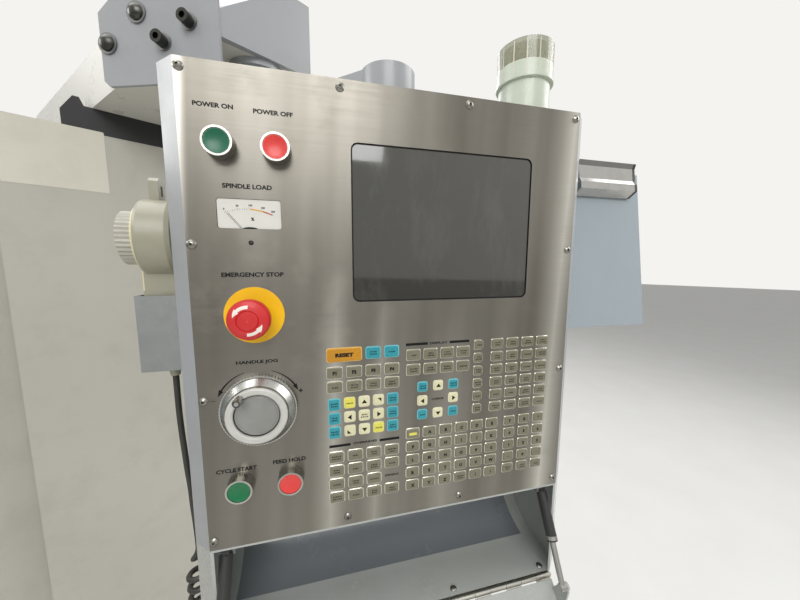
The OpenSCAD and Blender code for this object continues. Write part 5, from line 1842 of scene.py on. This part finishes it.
@dataclass
class DialDetails:
    """The dial's graduations, its clear disc and the dark cap of its crank knob.

    Args:
        place: the dial's place.
        knob_at: the crank knob's place on the dial.
        knob_top: height of the knob's end.
        marks: how many graduations there are.
        mark_r: outer radius of the graduations.
        ring_foot: radius and height at which the sloping ring starts.
        slope: the ring's rise for each millimetre inwards.
        disc: the disc's profile, as radius and height.
        seal: the profile of the ring round it.
    """

    place: Place = on_panel(*DIAL_AT)
    knob_at: Pair = (-15.0, 22.0)
    knob_top: float = 33.8
    marks: int = 100
    mark_r: float = 37.3
    ring_foot: Pair = (37.5, 8.5)
    slope: float = 6.5 / 5.5
    disc: tuple[Pair, ...] = (
        (22.6, 14.05), (22.6, 15.3), (21.9, 15.9), (20.6, 16.0), (20.2, 15.7), (19.8, 16.0),
        (6.0, 16.3), (0.4, 16.35),
    )
    seal: tuple[Pair, ...] = ((23.0, 15.6), (23.0, 16.5), (22.3, 16.6), (22.3, 15.6))

    def mark(self, n: int) -> Surface:
        """One graduation on the ring: a thin bar from the outer radius inwards.

        Args:
            n: its number. Every tenth is the longest, and every fifth longer than the rest.

        Returns:
            The bar, between z = foot + slope (r0 - r) and a little over it.
        """
        inner = 34.3 if n % 10 == 0 else (35.0 if n % 5 == 0 else 35.9)
        ends = np.array([self.mark_r, inner])
        high = self.ring_foot[1] + (self.ring_foot[0] - ends) * self.slope + 0.04
        way = spokes(np.array(math.radians(360.0 / self.marks * n)))
        side = np.array([-way[1], way[0]]) * 0.14
        corners = ((0, -1), (0, 1), (1, 1), (1, -1))
        bar = [
            np.r_[ends[e] * way + s * side, high[e] + lift]
            for lift in (-0.06, 0.02) for e, s in corners
        ]
        return lofted(np.array(bar).reshape(2, 4, 3))

    def build(self) -> None:
        """Makes the marks on the sloping ring, the disc with its rim, and the knob's cap."""
        marks = [self.mark(n) for n in range(self.marks)]
        flat_made("dial_marks", marks, self.place, DULL_INK, "jog_dial", Slot.DIAL)
        disc = revolved(self.disc, 64).set_in(self.place)
        made("dial_disc", disc, DIAL_FACE, "jog_dial", Slot.DIAL)
        seal = revolved(self.seal, 64, closed=True).set_in(self.place)
        made("dial_seal", seal, BLACK_RUBBER, "jog_dial", Slot.BLACK)
        cap = revolved(
            [(3.7, -0.9), (3.75, -0.2), (3.4, 0.12), (2.4, 0.1), (2.1, -0.1), (0.6, -0.12)], 24
        )
        knob = self.place.moved(*self.knob_at, self.knob_top)
        made("knob_cap", cap.set_in(knob), BLACK_RUBBER, "jog_knob", Slot.BLACK)


@dataclass
class Trims:
    """Small fittings: painted shade in the screw sockets, beacon lines and lip, bin screws, strut
    rings and a card.

    Args:
        screw_cols: places of the panel's screws across.
        screw_rows: places of the panel's screws down.
        socket_r: radius of the hexagon in a screw's head.
        socket_heights: its lower and upper face.
        beacon_at: the beacon's place across and inwards.
        beacon_lines: how many lines its lens has.
        beacon_line_r: their inner and outer radius.
        beacon_line_h: the heights at which they start and end.
        bin_screw_at: depth and height of the bin's screws.
        bin_screw_cols: their places across.
        strut_top: depth and drop of the strut's upper pin.
        strut_edge: distance of a strut from the panel's side.
        flap_hinge: depth and height, downwards, of the flap's hinge.
        flap_droop: how far the shut flap leans.
        flap_eye: the rod's eye along the flap and out of it.
        tube_l: the tube's length from its pin.
    """

    screw_cols: tuple[float, ...] = (5.0, 153.8, 302.5, 450.5)
    screw_rows: tuple[float, ...] = (8.5, 173.5, 338.0, 503.0)
    socket_r: float = 1.5
    socket_heights: Pair = (1.2, 1.32)
    beacon_at: Pair = (407.0, 50.0)
    beacon_lines: int = 14
    beacon_line_r: Pair = (35.8, 36.15)
    beacon_line_h: Pair = (46.5, 90.5)
    bin_screw_at: Pair = (9.6, -657.6)
    bin_screw_cols: tuple[float, ...] = (11.0, 153.8, 302.5, 446.0)
    strut_top: Pair = (18.0, 526.0)
    strut_edge: float = 12.0
    flap_hinge: Pair = (-3.5, 660.5)
    flap_droop: float = math.radians(45.0)
    flap_eye: Pair = (11.0, 39.0)
    tube_l: float = 66.0

    def sockets(self) -> None:
        """A dark hexagon on each panel screw's head: painted shade in its hex socket."""
        # Painted shade: flat black hexagons stand for the shade inside the hex sockets.
        outline = self.socket_r * spokes(np.radians(np.arange(6) * 60.0))
        hexagon = plate(outline, *self.socket_heights)
        edge_cols, edge_rows = self.screw_cols[::3], self.screw_rows[::3]
        parts = [
            hexagon.shifted(u, -v) for u in self.screw_cols for v in self.screw_rows
            if u in edge_cols or v in edge_rows
        ]
        flat_made("screw_socket_shade", parts, PANEL, BLACK_OXIDE, "pendant", Slot.BLACK)

    def beacon(self) -> None:
        """White upright lines round the lens, and a lip where it meets the base."""
        top = LEVEL.moved(*self.beacon_at)
        half = 0.018
        inner, outer = self.beacon_line_r
        parts = []
        for n in range(self.beacon_lines):
            t = 2 * np.pi * (n + 0.3) / self.beacon_lines
            before, after = spokes(np.array([t - half, t + half]))
            line = np.array([inner * before, outer * before, outer * after, inner * after])
            parts.append(plate(line, *self.beacon_line_h))
        flat_made("beacon_ribs", parts, top, CARD_STOCK, "pendant", Slot.BEACON)
        lip = revolved([(35.9, 45.1), (36.9, 45.4), (37.0, 47.6), (35.9, 48.0)], 48, closed=True)
        made("beacon_lip", lip.set_in(top), BEACON_BODY, "pendant", Slot.BEACON)

    def bin_screws(self) -> None:
        """Round screw heads along the bin's floor."""
        dome = revolved([(4.7, 0.0), (4.6, 0.8), (3.6, 1.8), (1.8, 2.4), (0.2, 2.5)], 16)
        parts = [dome.shifted(u, *self.bin_screw_at) for u in self.bin_screw_cols]
        screws = Surface.joined(parts).set_in(LEVEL)
        made("bin_screws", screws, SCREW_STEEL, "pendant", Slot.BRIGHT)

    def rings(self) -> None:
        """The bright ring at the rod's end of each strut tube, along the line from pin to eye."""
        c, s = math.cos(self.flap_droop), math.sin(self.flap_droop)
        along, out = self.flap_eye
        eye = np.array(self.flap_hinge) + along * np.array([-c, s]) + out * np.array([-s, -c])
        way = eye - np.array(self.strut_top)
        way = way / np.linalg.norm(way)
        down = way[0] * np.array(INWARDS) - way[1] * np.array(UP)
        ring = revolved([(7.45, 0.0), (7.9, 0.0), (7.9, 5.0), (7.45, 5.0)], 28, closed=True)
        parts = []
        for u in (self.strut_edge, PANEL_W - self.strut_edge):
            pin = LEVEL.moved(u, self.strut_top[0], -self.strut_top[1]).origin
            end = tuple(np.array(pin) + self.tube_l * down)
            parts.append(ring.set_in(Place(end, ACROSS, tuple(np.cross(down, ACROSS)))))
        rings = Surface.joined(parts)
        made("strut_rings", rings, BRIGHT_STEEL, "strut_tubes", Slot.BRIGHT)

    def card(self) -> None:
        """A plain card on the right front panel: a flat rectangle with round corners."""
        front = Place((672.0, -900.0, 1747.0), RIGHT, UP)
        card = plate(rounded(126.0, 106.0, 2.0), 0.0, 0.4)
        made("front_card", card.set_in(front), CARD_STOCK, "machine", Slot.CREAM)

    def build(self) -> None:
        """Makes each of them."""
        self.sockets()
        self.beacon()
        self.bin_screws()
        self.rings()
        self.card()


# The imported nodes' finishes
@dataclass(frozen=True)
class Dressing:
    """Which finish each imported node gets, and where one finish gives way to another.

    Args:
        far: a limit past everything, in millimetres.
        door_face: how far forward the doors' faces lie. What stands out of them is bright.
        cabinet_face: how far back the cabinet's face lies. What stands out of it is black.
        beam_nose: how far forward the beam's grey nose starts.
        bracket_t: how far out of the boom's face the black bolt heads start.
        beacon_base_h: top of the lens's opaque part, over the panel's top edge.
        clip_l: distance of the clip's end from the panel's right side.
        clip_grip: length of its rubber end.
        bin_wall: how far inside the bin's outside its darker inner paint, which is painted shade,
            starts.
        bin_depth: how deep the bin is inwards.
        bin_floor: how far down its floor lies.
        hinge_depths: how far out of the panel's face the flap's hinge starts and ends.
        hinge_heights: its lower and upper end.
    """

    far: float = 2000.0
    door_face: float = 870.4
    cabinet_face: float = 1187.4
    beam_nose: float = 1142.0
    bracket_t: float = 7.6
    beacon_base_h: float = 66.0
    clip_l: float = 149.0
    clip_grip: float = 5.0
    bin_wall: float = 3.0
    bin_depth: float = 145.0
    bin_floor: float = 657.0
    hinge_depths: Pair = (-0.4, 9.0)
    hinge_heights: Pair = (-665.5, -656.5)

    def beyond(self, place: Place, way: Vec, low: float) -> Zone:
        """The zone past a distance along a direction, counted from a place's origin."""
        return Zone((place.slab(way, low, self.far),))

    def bin_finishes(self) -> tuple[Finish, Finish]:
        """Paint with a darker inside, which is painted shade, and bright hinge knuckles.

        Returns:
            The finishes of the bin and of its flap.
        """
        # Painted shade inside the bin.
        inside = Zone((
            PANEL.slab(ACROSS, self.bin_wall, PANEL_W - self.bin_wall),
            PANEL.slab(INWARDS, self.bin_wall, self.bin_depth),
            PANEL.slab(UP, -self.bin_floor, -PANEL_H - self.bin_wall - 0.2),
        ))
        hinge = Zone((
            PANEL.slab(PANEL.out, *self.hinge_depths), PANEL.slab(UP, *self.hinge_heights),
        ))
        knuckles = (hinge, HINGE_STEEL)
        return (
            Zoned("bin_metals", BIN_PAINT, ((inside, BIN_INSIDE_SHADE), knuckles)),
            Zoned("flap_metals", BIN_PAINT, (knuckles,)),
        )

    def finishes(self) -> tuple[tuple[Finish, tuple[str, ...]], ...]:
        """Lists what each node is finished with.

        Returns:
            Each finish and its nodes.
        """
        stop, dial, clip_end = on_panel(*STOP_AT), on_panel(*DIAL_AT), PANEL_W + self.clip_l
        bin_finish, flap_finish = self.bin_finishes()
        door = Zoned("door_enamel", CREAM_PAINT, (
            (self.beyond(MACHINE, FRONT, self.door_face), BRIGHT_STEEL),
        ))
        cabinet = Zoned("cabinet_enamel", CREAM_PAINT, (
            (self.beyond(MACHINE, BACK, self.cabinet_face), BLACK_PAINT),
        ))
        beam = Zoned("beam_enamels", WHITE_PAINT, (
            (self.beyond(MACHINE, FRONT, self.beam_nose), GREY_PAINT),
        ))
        bolts = Zoned("bolt_metals", BOLT_STEEL, (
            (self.beyond(BOOM_FACE, BOOM_FACE.out, self.bracket_t), BLACK_OXIDE),
        ))
        clip = Zoned("clip_metals", BRIGHT_STEEL, (
            (self.beyond(PANEL, ACROSS, clip_end - self.clip_grip), BLACK_RUBBER),
        ))
        lens = Zoned("lens_bands", BEACON_CLEAR, (
            (Zone((PANEL.slab(UP, -self.beacon_base_h, self.beacon_base_h),)), BEACON_BODY),
        ))
        switches = Zoned("switch_metals", BEZEL_METAL, (
            (Round(stop, (-1.0, 18.0), (-60.0, 12.0)), BLACK_RUBBER),
        ))
        dial_parts = Zoned("dial_metals", DIAL_METAL, (
            (Round(dial, (22.0, 31.0), (15.2, 30.0)), DIAL_PLASTIC),
            (Round(dial, (-1.0, 23.2), (-30.0, 14.6)), BLACK_RUBBER),
        ))
        remote = Zoned("remote_plastics", HANDLE_PLASTIC, (
            (Round(WHEEL_AXIS, (30.0, 60.0), (33.6, 60.0)), CREAM_RING),
        ))
        return (
            (CAST_IRON, ("base_casting", "column_casting", "saddle_casting", "tool_changer_beam",
                         "tool_changer_slide")),
            (HEAD_CASTING, ("spindle_head",)),
            (MOTOR_BLACK, ("spindle_motor", "coolant_pump")),
            (RAIL_STEEL, ("guide_rails", "spindle")),
            (TABLE_IRON, ("work_table",)),
            (CAROUSEL_BLACK, ("tool_carousel",)),
            (BOLT_STEEL, ("leveling_feet",)),
            (PAN_SHEET, ("chip_pan", "coolant_tank", "handle_pocket")),
            (CREAM_PAINT, ("left_side_panel", "right_side_panel", "left_front_panel",
                           "right_front_panel", "front_apron", "door_header")),
            (door, ("left_door", "right_door")),
            (WINDOW_CLEAR, ("left_window", "right_window")),
            (cabinet, ("electrical_cabinet",)),
            (beam, ("boom_beam",)),
            (FOOT_PAINT, ("boom_foot",)),
            (bolts, ("boom_bolts",)),
            (GREY_PAINT, ("boom_bracket", "swivel_arm", "pendant_housing", "rear_cover")),
            (PANEL_STEEL, ("control_panel",)),
            (SCREW_STEEL, ("panel_screws",)),
            (DISPLAY_GLASS, ("display_unit",)),
            (METER_CARD, ("load_meter",)),
            (switches, ("switch_bodies",)),
            (GREEN_CAP, ("power_on_button",)),
            (GREEN_CAP_LOW, ("cycle_start_button",)),
            (RED_CAP, ("power_off_button", "feed_hold_button")),
            (STOP_YELLOW, ("stop_backplate",)),
            (STOP_RED, ("stop_button",)),
            (dial_parts, ("jog_dial",)),
            (BEZEL_METAL, ("jog_knob",)),
            (KEY_GREY, ("grey_keys",)),
            (KEY_TEAL, ("colour_keys",)),
            (BEACON_BODY, ("beacon_base",)),
            (lens, ("beacon_lens",)),
            (BOARD_PAINT, ("clipboard",)),
            (clip, ("clip_lever",)),
            (remote, ("remote_handle",)),
            (WHEEL_PLASTIC, ("remote_wheel",)),
            (CORD_RUBBER, ("handle_lead", "handle_curl")),
            (bin_finish, ("storage_bin",)),
            (flap_finish, ("bin_flap",)),
            (BLACK_RUBBER, ("strut_tubes",)),
            (BRIGHT_STEEL, ("strut_rods",)),
        )

    def build(self, frame: dict[str, Any]) -> None:
        """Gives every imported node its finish, and names those that have none.
        """
        left = set(frame["nodes"])
        for finish, nodes in self.finishes():
            for node in nodes:
                for slot in frame["nodes"][node].material_slots:
                    slot.material = finish.material()
            left -= set(nodes)
        if left:
            LOG.warning("nodes without a finish: %s", sorted(left))


def main() -> dict[str, Any]:
    """Builds the scene in order.

    Returns:
        The frame's box and the dressed model's box.
    """
    logging.basicConfig(level=logging.INFO, format="%(name)s %(message)s")
    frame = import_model()
    cad_box = [[float(x) for x in corner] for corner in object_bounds()]
    Studio().build()
    HandleCord().build()
    Dressing().build(frame)
    Keypad().build()
    PanelPrints().build()
    Meter().build()
    LampAndDisplay().build()
    StopDetails().build()
    DialDetails().build()
    Trims().build()
    visual_box = [[float(x) for x in corner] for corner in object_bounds()]
    sizes = {"cad": cad_box, "visual": visual_box}
    return sizes


if __name__ == "__main__":
    main()
